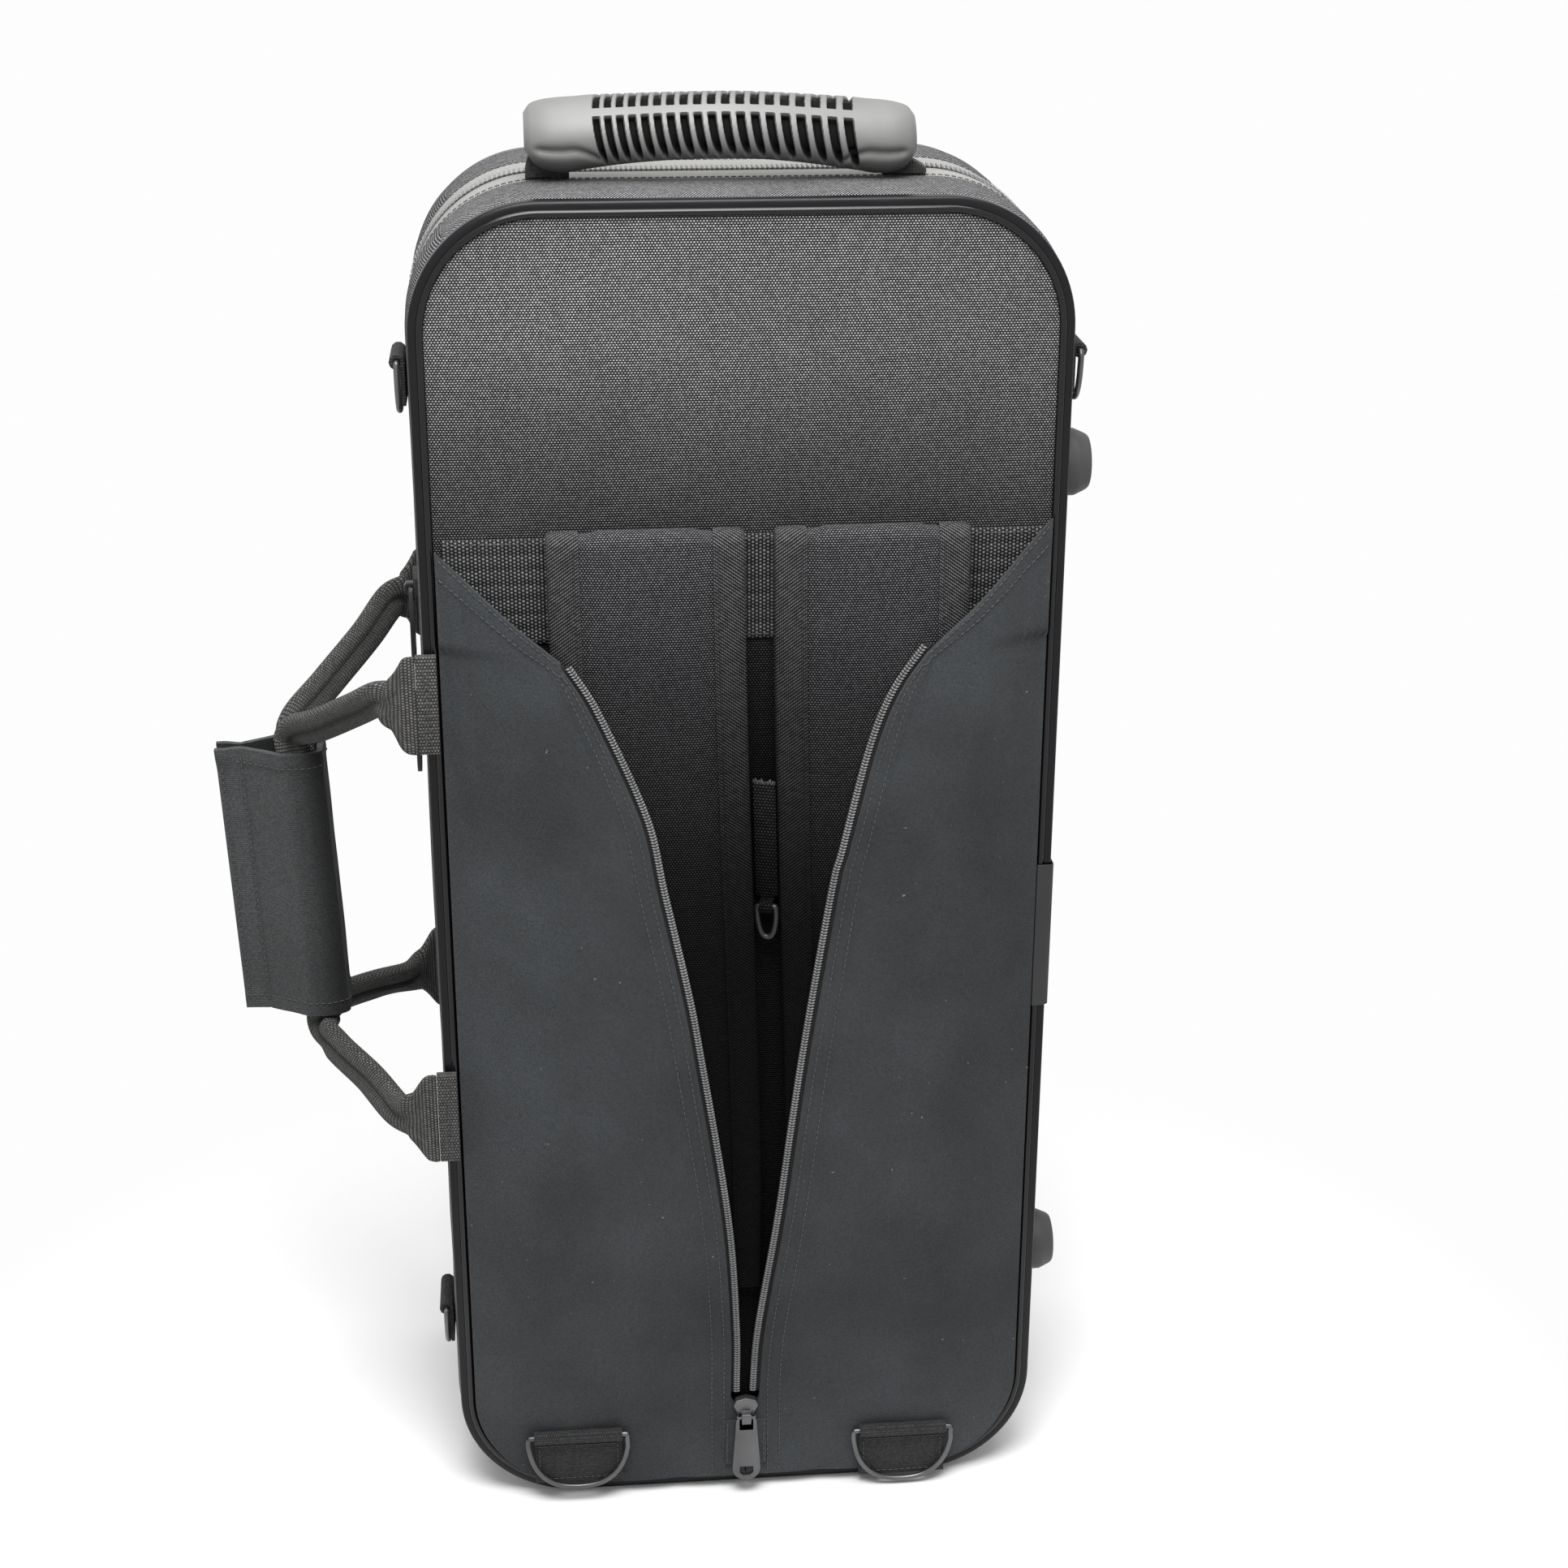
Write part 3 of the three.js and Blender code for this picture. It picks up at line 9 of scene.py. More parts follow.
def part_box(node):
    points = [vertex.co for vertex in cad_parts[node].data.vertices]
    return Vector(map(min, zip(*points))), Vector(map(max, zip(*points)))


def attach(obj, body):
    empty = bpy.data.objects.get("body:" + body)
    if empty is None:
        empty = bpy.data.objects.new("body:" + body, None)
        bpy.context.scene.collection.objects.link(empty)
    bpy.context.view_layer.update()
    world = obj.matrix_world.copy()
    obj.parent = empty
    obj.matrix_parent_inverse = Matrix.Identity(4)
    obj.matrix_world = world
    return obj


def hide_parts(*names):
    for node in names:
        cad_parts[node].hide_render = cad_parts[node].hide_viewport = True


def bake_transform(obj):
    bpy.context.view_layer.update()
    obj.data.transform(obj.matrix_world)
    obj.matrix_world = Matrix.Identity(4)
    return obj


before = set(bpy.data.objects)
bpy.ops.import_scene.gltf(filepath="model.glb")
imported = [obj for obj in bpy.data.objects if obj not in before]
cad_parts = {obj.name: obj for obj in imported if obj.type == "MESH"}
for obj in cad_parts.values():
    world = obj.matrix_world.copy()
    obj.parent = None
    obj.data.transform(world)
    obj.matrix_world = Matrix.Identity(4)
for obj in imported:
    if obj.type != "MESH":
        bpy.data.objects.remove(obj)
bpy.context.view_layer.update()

mm = 0.001  # shapes are worked out in millimetres, and meshes are made in metres
pipingLow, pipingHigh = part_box("body_piping")
zipY = (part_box("body_shell")[0].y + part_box("lid_shell")[1].y) / 2 / mm
outerX = -pipingLow.x / mm
caseTop = pipingHigh.z / mm
frontY = pipingLow.y / mm - zipY

case = {
    "corner": 51.0, "leastCorner": 4.5, "panel": 4.5, "crown": 1.6, "wall": 8.0, "bulge": 1.6,
    "zipTape": 21.0, "zipGap": 3.2, "gap": 0.3, "cornerSteps": 24, "wallSteps": 22,
}
piping = {"thickness": 0.8, "side": 6.6, "face": 6.2, "bead": 3.2, "rise": 1.3, "beadSides": 14}
gap = case["gap"]
panelY = frontY + piping["rise"] + 2 * gap
shellInset = piping["thickness"] + gap
linerInset = shellInset + case["wall"]
gussetStart = frontY + piping["side"] + gap
gussetEnd = -case["zipGap"] - case["zipTape"]


def xyz(x, y, z):
    return Vector((x, y, z))


def mix(a, b, t):
    return a + (b - a) * t


def clamped(t):
    return min(max(t, 0.0), 1.0)


def smooth(t):
    t = clamped(t)
    return t * t * (3 - 2 * t)


def shares(count):
    return [i / count for i in range(count + 1)]


def atShare(share):
    return share * caseTop


def lookUp(rows, key):
    for (k0, v0), (k1, v1) in zip(rows, rows[1:]):
        if key <= k1:
            return mix(v0, v1, clamped((key - k0) / (k1 - k0)))
    return rows[-1][1]


def wander(x, y, z, size):
    return noise.noise(xyz(x, y, z) / size)


toFront = xyz(0, -1, 0)


# Node helpers


def nodeOf(tree, kind, inputs=(), **settings):
    made = tree.nodes.new(kind)
    for key, value in settings.items():
        setattr(made, key, value)
    for key, value in dict(inputs).items():
        if isinstance(value, bpy.types.NodeSocket):
            tree.links.new(value, made.inputs[key])
        else:
            made.inputs[key].default_value = value
    return made


def calc(tree, operation, *values):
    return nodeOf(tree, "ShaderNodeMath", enumerate(values), operation=operation).outputs[0]


def product(tree, first, *others):
    for value in others:
        first = calc(tree, "MULTIPLY", first, value)
    return first


def ranged(tree, value, low, high, start=0.0, end=1.0, **settings):
    inputs = {0: value, 1: low, 2: high, 3: start, 4: end}
    return nodeOf(tree, "ShaderNodeMapRange", inputs, **settings).outputs[0]


def blendColor(tree, factor, a, b, mode="MIX"):
    inputs = {0: factor, 6: a, 7: b}
    return nodeOf(tree, "ShaderNodeMix", inputs, data_type="RGBA", blend_type=mode).outputs[2]


def axesOf(tree, point):
    return nodeOf(tree, "ShaderNodeSeparateXYZ", {0: point}).outputs


def place(tree):
    return nodeOf(tree, "ShaderNodeTexCoord").outputs["Object"]


def clothAxes(tree):
    return axesOf(tree, nodeOf(tree, "ShaderNodeUVMap", uv_map="cloth").outputs[0])


def noiseOf(tree, scale, detail):
    inputs = {"Vector": place(tree), "Scale": scale, "Detail": detail}
    return nodeOf(tree, "ShaderNodeTexNoise", inputs).outputs[0]


def clouds(tree, scale, detail, low, high):
    return ranged(tree, noiseOf(tree, scale, detail), 0.3, 0.7, low, high)  # most noise lies in this range


def newMaterial(name, color, roughness, metallic=0.0, sheen=0.0, coat=0.0, gloss=0.5):
    made = bpy.data.materials.new(name)
    made.use_nodes = True
    made.diffuse_color = (*color, 1)
    shader = made.node_tree.nodes["Principled BSDF"]
    values = {"Base Color": (*color, 1), "Roughness": roughness, "Metallic": metallic}
    values |= {"Sheen Weight": sheen, "Sheen Roughness": 0.5, "Coat Weight": coat}
    values |= {"Coat Roughness": 0.15, "Specular IOR Level": gloss}
    for key, value in values.items():
        shader.inputs[key].default_value = value
    return made, made.node_tree, shader


def tinted(tree, color, tone):
    grey = nodeOf(tree, "ShaderNodeCombineColor", {0: tone, 1: tone, 2: tone}).outputs[0]
    return blendColor(tree, 1.0, (*color, 1), grey, "MULTIPLY")


def raised(tree, shader, height, depth, strength):
    inputs = {"Height": height, "Distance": depth * mm, "Strength": strength}
    tree.links.new(nodeOf(tree, "ShaderNodeBump", inputs).outputs[0], shader.inputs["Normal"])


# Weaves: the height of the threads, and a random number for each, from the cloth's own millimetres


def wave(tree, value, turns=1.0):
    return calc(tree, "ABSOLUTE", calc(tree, "SINE", calc(tree, "MULTIPLY", value, turns * math.pi)))


def threadAt(tree, across, along):
    point = clothAxes(tree)
    return calc(tree, "DIVIDE", point[0], across), calc(tree, "DIVIDE", point[1], along)


def threadChance(tree, u, v):
    cell = nodeOf(tree, "ShaderNodeCombineXYZ", {0: calc(tree, "FLOOR", u), 1: calc(tree, "FLOOR", v)})
    return nodeOf(tree, "ShaderNodeTexWhiteNoise", {0: cell.outputs[0]}, noise_dimensions="2D").outputs[0]


def plainWeave(tree, across, along):
    u, v = threadAt(tree, across, along)
    everySecond = calc(tree, "PINGPONG", calc(tree, "FLOOR", v), 1.0)
    u = calc(tree, "ADD", u, calc(tree, "MULTIPLY", everySecond, 0.5))
    return calc(tree, "MULTIPLY", wave(tree, u), wave(tree, v)), threadChance(tree, u, v)


def twillWeave(tree, across, along):
    u, v = threadAt(tree, across, along)
    thread = calc(tree, "MULTIPLY_ADD", wave(tree, u, 2.2), 0.35, 0.65)
    return calc(tree, "MULTIPLY", wave(tree, calc(tree, "ADD", u, v)), thread), threadChance(tree, u, v)


def zigzagWeave(tree, across, along):
    u, v = threadAt(tree, across, along)
    ridge = wave(tree, calc(tree, "ADD", calc(tree, "PINGPONG", u, 1.0), v))
    return ridge, nodeOf(tree, "ShaderNodeTexNoise", {"Scale": 900.0, "Detail": 1.0}).outputs[0]


# Materials

shades = {"panel": (0.34, 0.52), "pocket": (0.25, 0.47), "least": 0.05, "depth": 3.4}
lint = {"scale": 420.0, "start": 0.76, "full": 0.8, "color": (0.3, 0.3, 0.3, 1)}


# Cloth gets darker towards the foot of the front pocket, between two heights in metres.
def pocketShade(tree, where):
    at = axesOf(tree, place(tree))
    share = calc(tree, "POWER", ranged(tree, at[2], *shades[where]), 2.0)
    rise = calc(tree, "MULTIPLY_ADD", share, 1 - shades["least"], shades["least"])
    outside = calc(tree, "GREATER_THAN", at[1], (frontY + zipY + shades["depth"]) * mm)
    return calc(tree, "MAXIMUM", rise, outside)


def clothMaterial(
    name, weave, color, dark, light, depth, power=1.0, shade=None,
    sheen=0.03, roughness=0.8, gloss=0.2, dust=0.0, spread=0.1, turned=None,
):
    if shade:
        sheen, gloss = 0.0, 0.04
    made, tree, shader = newMaterial(name, color, roughness, sheen=sheen, gloss=gloss)
    style, across, along = weave
    height, chance = style(tree, across, along)
    tone = calc(tree, "MULTIPLY_ADD", calc(tree, "POWER", height, power), light - dark, dark)
    each = calc(tree, "MULTIPLY_ADD", chance, 0.5, 0.75)
    tone = product(tree, tone, clouds(tree, 14.0, 3.0, 1 - spread, 1 + spread), each)
    if shade:
        tone = product(tree, tone, pocketShade(tree, shade))
    # Painted shade across the cloth: darker between two places across it, down to the given least tone.
    if turned:
        start, end, least = turned
        tone = product(tree, tone, ranged(tree, clothAxes(tree)[0], start, end, 1.0, least))
    tint = tinted(tree, color, tone)
    if dust:
        mask = ranged(tree, noiseOf(tree, lint["scale"], 2.0), lint["start"], lint["full"])
        tint = blendColor(tree, calc(tree, "MULTIPLY", mask, dust), tint, lint["color"])
    tree.links.new(tint, shader.inputs["Base Color"])
    raised(tree, shader, height, depth, 0.9)
    return made


def smoothMaterial(
    name, color, roughness, grain, depth, metallic=0.0, coat=0.0, wear=(0.8, 1.2), gloss=0.5, shade=None,
):
    made, tree, shader = newMaterial(name, color, roughness, metallic, coat=coat, gloss=gloss)
    tone = clouds(tree, 35.0, 4.0, *wear)
    if shade:
        tone = product(tree, tone, pocketShade(tree, shade))
    tree.links.new(tinted(tree, color, tone), shader.inputs["Base Color"])
    rough = clouds(tree, 90.0, 2.0, roughness * 0.85, min(roughness * 1.2, 1))
    tree.links.new(rough, shader.inputs["Roughness"])
    raised(tree, shader, noiseOf(tree, grain, 2.0), depth, 0.6)
    return made


# Rubber with painted light and shade, lighter on top and darker low down, and painted shade, black, in the
# windows
def gripMaterial(name, color):
    made, tree, shader = newMaterial(name, color, 0.5)
    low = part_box("top_handle_grip")[0].z
    # Painted light and shade: the grip's colour rises from dark low down to light near its top.
    rise = ranged(tree, axesOf(tree, place(tree))[2], low + 0.001, low + 0.021, 0.42, 1.1)
    lit = tinted(tree, color, product(tree, clouds(tree, 30.0, 4.0, 0.88, 1.1), rise))
    # Painted shade: the window hollows are coloured near black, for the shade inside the holes.
    hollow = nodeOf(tree, "ShaderNodeAttribute", attribute_name="hollow").outputs["Fac"]
    coloured = blendColor(tree, ranged(tree, hollow, 0.2, 0.55), lit, (0.004, 0.004, 0.005, 1))
    tree.links.new(coloured, shader.inputs["Base Color"])
    raised(tree, shader, noiseOf(tree, 1800.0, 2.0), 0.06, 0.5)
    return made


cloths = {  # weave and its pitches, colour, darkest and lightest tone, depth, sharpness, shade
    "panelCloth": ((plainWeave, 1.22, 0.98), (0.108, 0.108, 0.11), 0.03, 3.8, 0.3, 2.0, "panel"),
    "padCloth": ((plainWeave, 1.22, 0.98), (0.066, 0.066, 0.07), 0.03, 3.8, 0.3, 2.0, "pocket"),
    "tailWebbingCloth": ((plainWeave, 1.3, 1.3), (0.06, 0.06, 0.06), 0.1, 3.0, 0.4, 1.6, "pocket"),
    "bindingTwill": ((twillWeave, 1.9, 1.4), (0.062, 0.062, 0.063), 0.02, 2.6, 0.4, 2.0, "pocket"),
    "pocketCloth": ((plainWeave, 0.5, 0.4), (0.035, 0.038, 0.041), 0.45, 1.6, 0.08),
    "webbingCloth": ((plainWeave, 1.5, 1.5), (0.046, 0.046, 0.046), 0.0, 4.0, 0.5, 2.0),
    "ringWebbingCloth": ((plainWeave, 1.1, 1.1), (0.03, 0.03, 0.031), 0.45, 1.7, 0.3, 1.4),
    "carryWebbingCloth": ((plainWeave, 1.2, 1.35), (0.062, 0.061, 0.059), 0.2, 2.4, 0.45, 1.3),
    "wrapCloth": ((plainWeave, 0.75, 0.62), (0.05, 0.052, 0.053), 0.25, 2.1, 0.15),
    "handleWebbingCloth": ((twillWeave, 0.9, 0.9), (0.06, 0.058, 0.058), 0.0, 2.2, 0.3),
    "zipTapeCloth": ((zigzagWeave, 1.1, 1.0), (0.21, 0.208, 0.2), 0.2, 1.9, 0.15),
    "pocketTapeCloth": ((zigzagWeave, 0.9, 0.8), (0.014, 0.014, 0.015), 0.4, 1.6, 0.1),
    "plushCloth": ((plainWeave, 0.35, 0.35), (0.02, 0.02, 0.024), 0.7, 1.4, 0.3),
}
smooths = {  # colour, roughness, scale and depth of the grain
    "pipingVinyl": ((0.003, 0.003, 0.0035), 0.16, 500.0, 0.01),
    "pipingRibbon": ((0.004, 0.004, 0.005), 0.3, 300.0, 0.05),
    "sleevePlastic": ((0.012, 0.012, 0.013), 0.42, 700.0, 0.03),
    "coilNylon": ((0.16, 0.16, 0.162), 0.35, 1500.0, 0.02),
    "mainCoilNylon": ((0.17, 0.17, 0.171), 0.4, 1500.0, 0.02),
    "coilCore": ((0.02, 0.02, 0.02), 0.5, 1500.0, 0.02),
    "footRubber": ((0.035, 0.035, 0.036), 0.55, 1500.0, 0.06),
    # The near-black rubber below is painted shade for the deep windows of the grip.
    "hollowRubber": ((0.006, 0.006, 0.006), 0.9, 900.0, 0.02),
    "darkMetal": ((0.03, 0.03, 0.031), 0.4, 2500.0, 0.02),
    "gunmetal": ((0.11, 0.11, 0.113), 0.36, 2500.0, 0.02),
    "threadDark": ((0.045, 0.045, 0.047), 0.6, 3000.0, 0.05),
    # Thread for the straps, with painted shade towards the foot of the pocket.
    "threadDeep": ((0.05, 0.05, 0.052), 0.6, 3000.0, 0.05),
}
extras = {
    "pocketCloth": {"dust": 0.6, "spread": 0.3},
    # Painted shade on the wrap: darker from the crown of its roll to its edge.
    "wrapCloth": {"turned": (30.0, 46.0, 0.3)},
    "plushCloth": {"sheen": 0.4, "roughness": 1.0},
    "pipingVinyl": {"gloss": 0.35},
    "pipingRibbon": {"gloss": 0.22},
    "coilNylon": {"coat": 0.15},
    "mainCoilNylon": {"coat": 0.1},
    "hollowRubber": {"gloss": 0.05},
    "darkMetal": {"metallic": 0.6},
    "gunmetal": {"metallic": 0.85, "wear": (0.7, 1.25)},
    "threadDeep": {"gloss": 0.05, "shade": "pocket"},
}
looks = {"ribbedRubber": gripMaterial("ribbedRubber", (0.135, 0.135, 0.132))}
for maker, rows in ((clothMaterial, cloths), (smoothMaterial, smooths)):
    for name, row in rows.items():
        looks[name] = maker(name, *row, **extras.get(name, {}))
print("materials", len(looks))


# Mesh helpers. A surface is a list of points, their faces, and cloth coordinates in millimetres.


def loft(rings, looped=False, sampleAt=0.5, column=None):
    count = len(rings[0])
    verts = [p for ring in rings for p in ring]
    sample = rings[int(len(rings) * sampleAt)]
    acrossAt, alongAt = [0.0], [0.0]
    for j in range(count):
        acrossAt.append(acrossAt[-1] + (sample[(j + 1) % count] - sample[j]).length)
    centres = [sum(ring, Vector()) / count if column is None else ring[column] for ring in rings]
    for a, b in zip(centres, centres[1:] + centres[:1]):
        alongAt.append(alongAt[-1] + (b - a).length)
    faces, cloth = [], []
    for i in range(len(rings) if looped else len(rings) - 1):
        near, far = i * count, ((i + 1) % len(rings)) * count
        for j in range(count):
            k = (j + 1) % count
            faces.append((near + j, near + k, far + k, far + j))
            u0, u1, v0, v1 = acrossAt[j], acrossAt[j + 1], alongAt[i], alongAt[i + 1]
            cloth.append(((u0, v0), (u1, v0), (u1, v1), (u0, v1)))
    if not looped:
        last = (len(rings) - 1) * count
        for cap in (tuple(range(count))[::-1], tuple(last + j for j in range(count))):
            faces.append(cap)
            cloth.append(tuple((verts[v].x, verts[v].y) for v in cap))
    return verts, faces, cloth


def moved(surface, change):
    verts, faces, cloth = surface
    return [change(p) for p in verts], faces, cloth


halves = (("body", -1), ("lid", 1))


# Shapes are made for the front half, and mirrored for the other one.
def turned(surface, sign):
    return moved(surface, lambda p: xyz(p.x, -sign * p.y, p.z))


def meshOf(name, surface, lift=0.0):
    verts, faces, cloth = surface
    mesh = bpy.data.meshes.new(name)
    mesh.from_pydata([(p + xyz(0, lift, 0)) * mm for p in verts], [], faces)
    layer = mesh.uv_layers.new(name="cloth")
    layer.data.foreach_set("uv", [c for face in cloth for pair in face for c in pair])
    mesh.polygons.foreach_set("use_smooth", [True] * len(mesh.polygons))
    return mesh


def unitOf(name, surface):
    return bpy.data.objects.new(name, meshOf(name, surface))


def addObject(name, data):
    obj = bpy.data.objects.new(name, data)
    bpy.context.scene.collection.objects.link(obj)
    return obj


def finishPiece(mesh, body, nodes):
    obj = addObject(mesh.name, mesh)
    if body:
        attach(obj, body)
    if nodes:
        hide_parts(*nodes)
    return obj


def boxCloth(mesh):
    layer = mesh.uv_layers.get("cloth") or mesh.uv_layers.new(name="cloth")
    for face in mesh.polygons:
        n = [abs(c) for c in face.normal]
        u, v = ((1, 2), (0, 2), (0, 1))[n.index(max(n))]
        for corner in face.loop_indices:
            co = mesh.vertices[mesh.loops[corner].vertex_index].co
            layer.data[corner].uv = (co[u] / mm, co[v] / mm)


def formOf(mesh):
    form = bmesh.new()
    form.from_mesh(mesh)
    return form


def finishMesh(mesh, form, look, sharp, boxed):
    form.to_mesh(mesh)
    form.free()
    mesh.polygons.foreach_set("use_smooth", [True] * len(mesh.polygons))
    mesh.set_sharp_from_angle(angle=math.radians(sharp))
    if boxed:
        boxCloth(mesh)
    mesh.materials.append(looks[look])


def piece(name, surface, look, body, nodes, sharp=40, boxed=False):
    mesh = meshOf(name, surface, zipY)
    form = formOf(mesh)
    bmesh.ops.recalc_face_normals(form, faces=form.faces)
    finishMesh(mesh, form, look, sharp, boxed)
    return finishPiece(mesh, body, nodes)


dress = {
    "weld": 0.002, "flatAngle": 2, "sharpAngle": 35, "shadeAngle": 38, "profile": 0.6,
    "rim": 0.9, "rimDepth": -0.35, "rimFacing": 0.98, "rimArea": 3,
}


# A piece that keeps a CAD node's form, with its edges rounded and a raised rim on the side that faces rim
def dressed(node, look, body, edge=0.3, segments=2, rim=None):
    form = formOf(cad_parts[node].data)
    bmesh.ops.remove_doubles(form, verts=form.verts, dist=dress["weld"] * mm)
    flat, sharp = (math.radians(dress[key]) for key in ("flatAngle", "sharpAngle"))
    bmesh.ops.dissolve_limit(form, angle_limit=flat, verts=form.verts, edges=form.edges)
    edges = [e for e in form.edges if len(e.link_faces) == 2 and e.calc_face_angle() > sharp]
    bevel = {"offset": edge * mm, "segments": segments, "profile": dress["profile"]}
    bmesh.ops.bevel(form, geom=edges, affect="EDGES", clamp_overlap=True, **bevel)
    if rim:
        faces = [f for f in form.faces if f.normal.dot(Vector(rim)) > dress["rimFacing"]]
        faces = [f for f in faces if f.calc_area() > dress["rimArea"] * mm * mm]
        inset = {"thickness": dress["rim"] * mm, "depth": dress["rimDepth"] * mm}
        bmesh.ops.inset_region(form, faces=faces, use_even_offset=True, use_boundary=True, **inset)
    mesh = bpy.data.meshes.new(node + "_dressed")
    finishMesh(mesh, form, look, dress["shadeAngle"], True)
    return finishPiece(mesh, body, [node])


def spline(points, steps):
    rows = [Vector(p) for p in points]
    rows = [2 * rows[0] - rows[1]] + rows + [2 * rows[-1] - rows[-2]]
    line = []
    for a, b, c, d in zip(rows, rows[1:], rows[2:], rows[3:]):
        for t in shares(steps)[:-1]:
            curve = (2 * a - 5 * b + 4 * c - d) * t**2 + (3 * b - a - 3 * c + d) * t**3
            line.append(0.5 * (2 * b + (c - a) * t + curve))
    return line + [rows[-2]]


def splineOf(values, steps):
    return [p.x for p in spline([(value, 0, 0) for value in values], steps)]


def tangents(line, looped=False):
    before = (line[-1:] if looped else line[:1]) + line[:-1]
    after = line[1:] + (line[:1] if looped else line[-1:])
    return [(b - a).normalized() for a, b in zip(before, after)]


def spaced(line, pitch):
    reach = [0.0]
    for a, b in zip(line, line[1:]):
        reach.append(reach[-1] + (b - a).length)
    count = max(int(reach[-1] / pitch), 1)
    places, at = [], 0
    for i in range(count):
        target = (i + 0.5) * reach[-1] / count
        while at < len(line) - 2 and reach[at + 1] < target:
            at += 1
        t = (target - reach[at]) / max(reach[at + 1] - reach[at], 1e-9)
        places.append((line[at].lerp(line[at + 1], t), (line[at + 1] - line[at]).normalized(), at))
    return places


def sweep(points, sectionAt, thinAt, looped=False, sampleAt=0.5):
    rings = []
    for i, (p, along) in enumerate(zip(points, tangents(points, looped))):
        axis = thinAt(i)
        thin = (axis - along * axis.dot(along)).normalized()
        wide = along.cross(thin)
        rings.append([p + wide * w + thin * t for w, t in sectionAt(i)])
    return loft(rings, looped, sampleAt)


def ovalSection(wide, thin, sides=16, power=1.0):
    section = []
    for j in range(sides):
        a = math.tau * j / sides
        c, s = math.cos(a), math.sin(a)
        w, t = math.copysign(abs(c) ** power, c), math.copysign(abs(s) ** power, s)
        section.append((wide / 2 * w, thin / 2 * t))
    return section


# Rounded outline of the case at one depth. It starts at the top of the right wall.
def outlineRing(inset, low, y, looped=True):
    half, top = outerX - inset, caseTop - inset
    radius = max(case["corner"] - inset, case["leastCorner"])
    left, right = radius - half, half - radius
    centres = [(right, top - radius), (left, top - radius), (left, low + radius), (right, low + radius)]

    def corner(q, t):
        x, z = centres[q % 4]
        a = math.pi / 2 * (q + t)
        return Vector((x + radius * math.cos(a), z + radius * math.sin(a)))

    points = []
    for q in range(4):
        points += [corner(q, t) for t in shares(case["cornerSteps"])]
        if q < 3 or looped:
            a, b = points[-1], corner(q + 1, 0)
            points += [a.lerp(b, t) for t in shares(case["wallSteps"])[1:-1]]
    return [xyz(p.x, y, p.y) for p in points]


def around(profile, looped=True):
    lines = [outlineRing(*row, looped) for row in profile]
    return loft([list(ring) for ring in zip(*lines)], looped)


# Geometry Nodes group that sets a unit mesh on every point, turned by the point's two directions


def repeatGroup():
    tree = bpy.data.node_groups.new("repeatUnit", "GeometryNodeTree")
    sockets = {"Places": "Geometry", "Unit": "Object", "Size Spread": "Float", "Seed": "Int"}
    for name, kind in (*sockets.items(), ("Material", "Material")):
        tree.interface.new_socket(name, in_out="INPUT", socket_type="NodeSocket" + kind)
    tree.interface.new_socket("Pieces", in_out="OUTPUT", socket_type="NodeSocketGeometry")
    start = nodeOf(tree, "NodeGroupInput").outputs
    axes = []
    for i, name in enumerate(("along", "up")):
        named = nodeOf(tree, "GeometryNodeInputNamedAttribute", {"Name": name}, data_type="FLOAT_VECTOR")
        axes.append((i, named.outputs[0]))
    turn = nodeOf(tree, "FunctionNodeAxesToRotation", axes, primary_axis="X", secondary_axis="Z")
    low, high = (calc(tree, operation, 1.0, start["Size Spread"]) for operation in ("SUBTRACT", "ADD"))
    inputs = {2: low, 3: high, "Seed": start["Seed"]}
    size = nodeOf(tree, "FunctionNodeRandomValue", inputs, data_type="FLOAT")
    inputs = {
        "Points": nodeOf(tree, "GeometryNodeMeshToPoints", {"Mesh": start["Places"]}).outputs[0],
        "Instance": nodeOf(tree, "GeometryNodeObjectInfo", {"Object": start["Unit"]}).outputs["Geometry"],
        "Rotation": turn.outputs[0],
        "Scale": size.outputs[1],
    }
    laid = nodeOf(tree, "GeometryNodeInstanceOnPoints", inputs)
    real = nodeOf(tree, "GeometryNodeRealizeInstances", {0: laid.outputs[0]})
    inputs = {"Geometry": real.outputs[0], "Material": start["Material"]}
    coloured = nodeOf(tree, "GeometryNodeSetMaterial", inputs)
    nodeOf(tree, "NodeGroupOutput", {0: coloured.outputs[0]})
    return tree


repeater = repeatGroup()


def repeatUnit(name, places, unit, look, body, nodes, spread=0.04, seed=3):
    mesh = bpy.data.meshes.new(name + "Places")
    mesh.from_pydata([(p + xyz(0, zipY, 0)) * mm for p, _, _ in places], [], [])
    for key, at in (("along", 1), ("up", 2)):
        layer = mesh.attributes.new(key, "FLOAT_VECTOR", "POINT")
        layer.data.foreach_set("vector", [c for row in places for c in row[at]])
    holder = addObject(name + "Places", mesh)
    modifier = holder.modifiers.new("repeat", "NODES")
    modifier.node_group = repeater
    values = {"Unit": unit, "Size Spread": spread, "Seed": seed, "Material": looks[look]}
    for item in repeater.interface.items_tree:
        if item.name in values:
            modifier[item.identifier] = values[item.name]
    graph = bpy.context.evaluated_depsgraph_get()
    made = bpy.data.meshes.new_from_object(holder.evaluated_get(graph))
    bpy.data.objects.remove(holder)
    made.name = name
    return finishPiece(made, body, nodes)


def capsule(length, wide, high, bend, sides=8):
    rings = []
    for t, share in ((-1, 0.25), (-0.88, 0.75), (-0.45, 1), (0, 1), (0.45, 1), (0.88, 0.75), (1, 0.25)):
        x, lift = t * length / 2, bend * (1 - t * t)
        section = ovalSection(wide * share, high * share, sides)
        rings.append([xyz(x, w, h + lift) for w, h in section][::-1])
    return loft(rings)


stitchUnit = unitOf("stitchUnit", capsule(2.0, 0.55, 0.42, 0.12, 6))
toothUnit = unitOf("toothUnit", capsule(2.9, 0.95, 1.1, 0.25))
stitch = {"pitch": 2.7, "lift": 0.12}
stitchesOf = {}


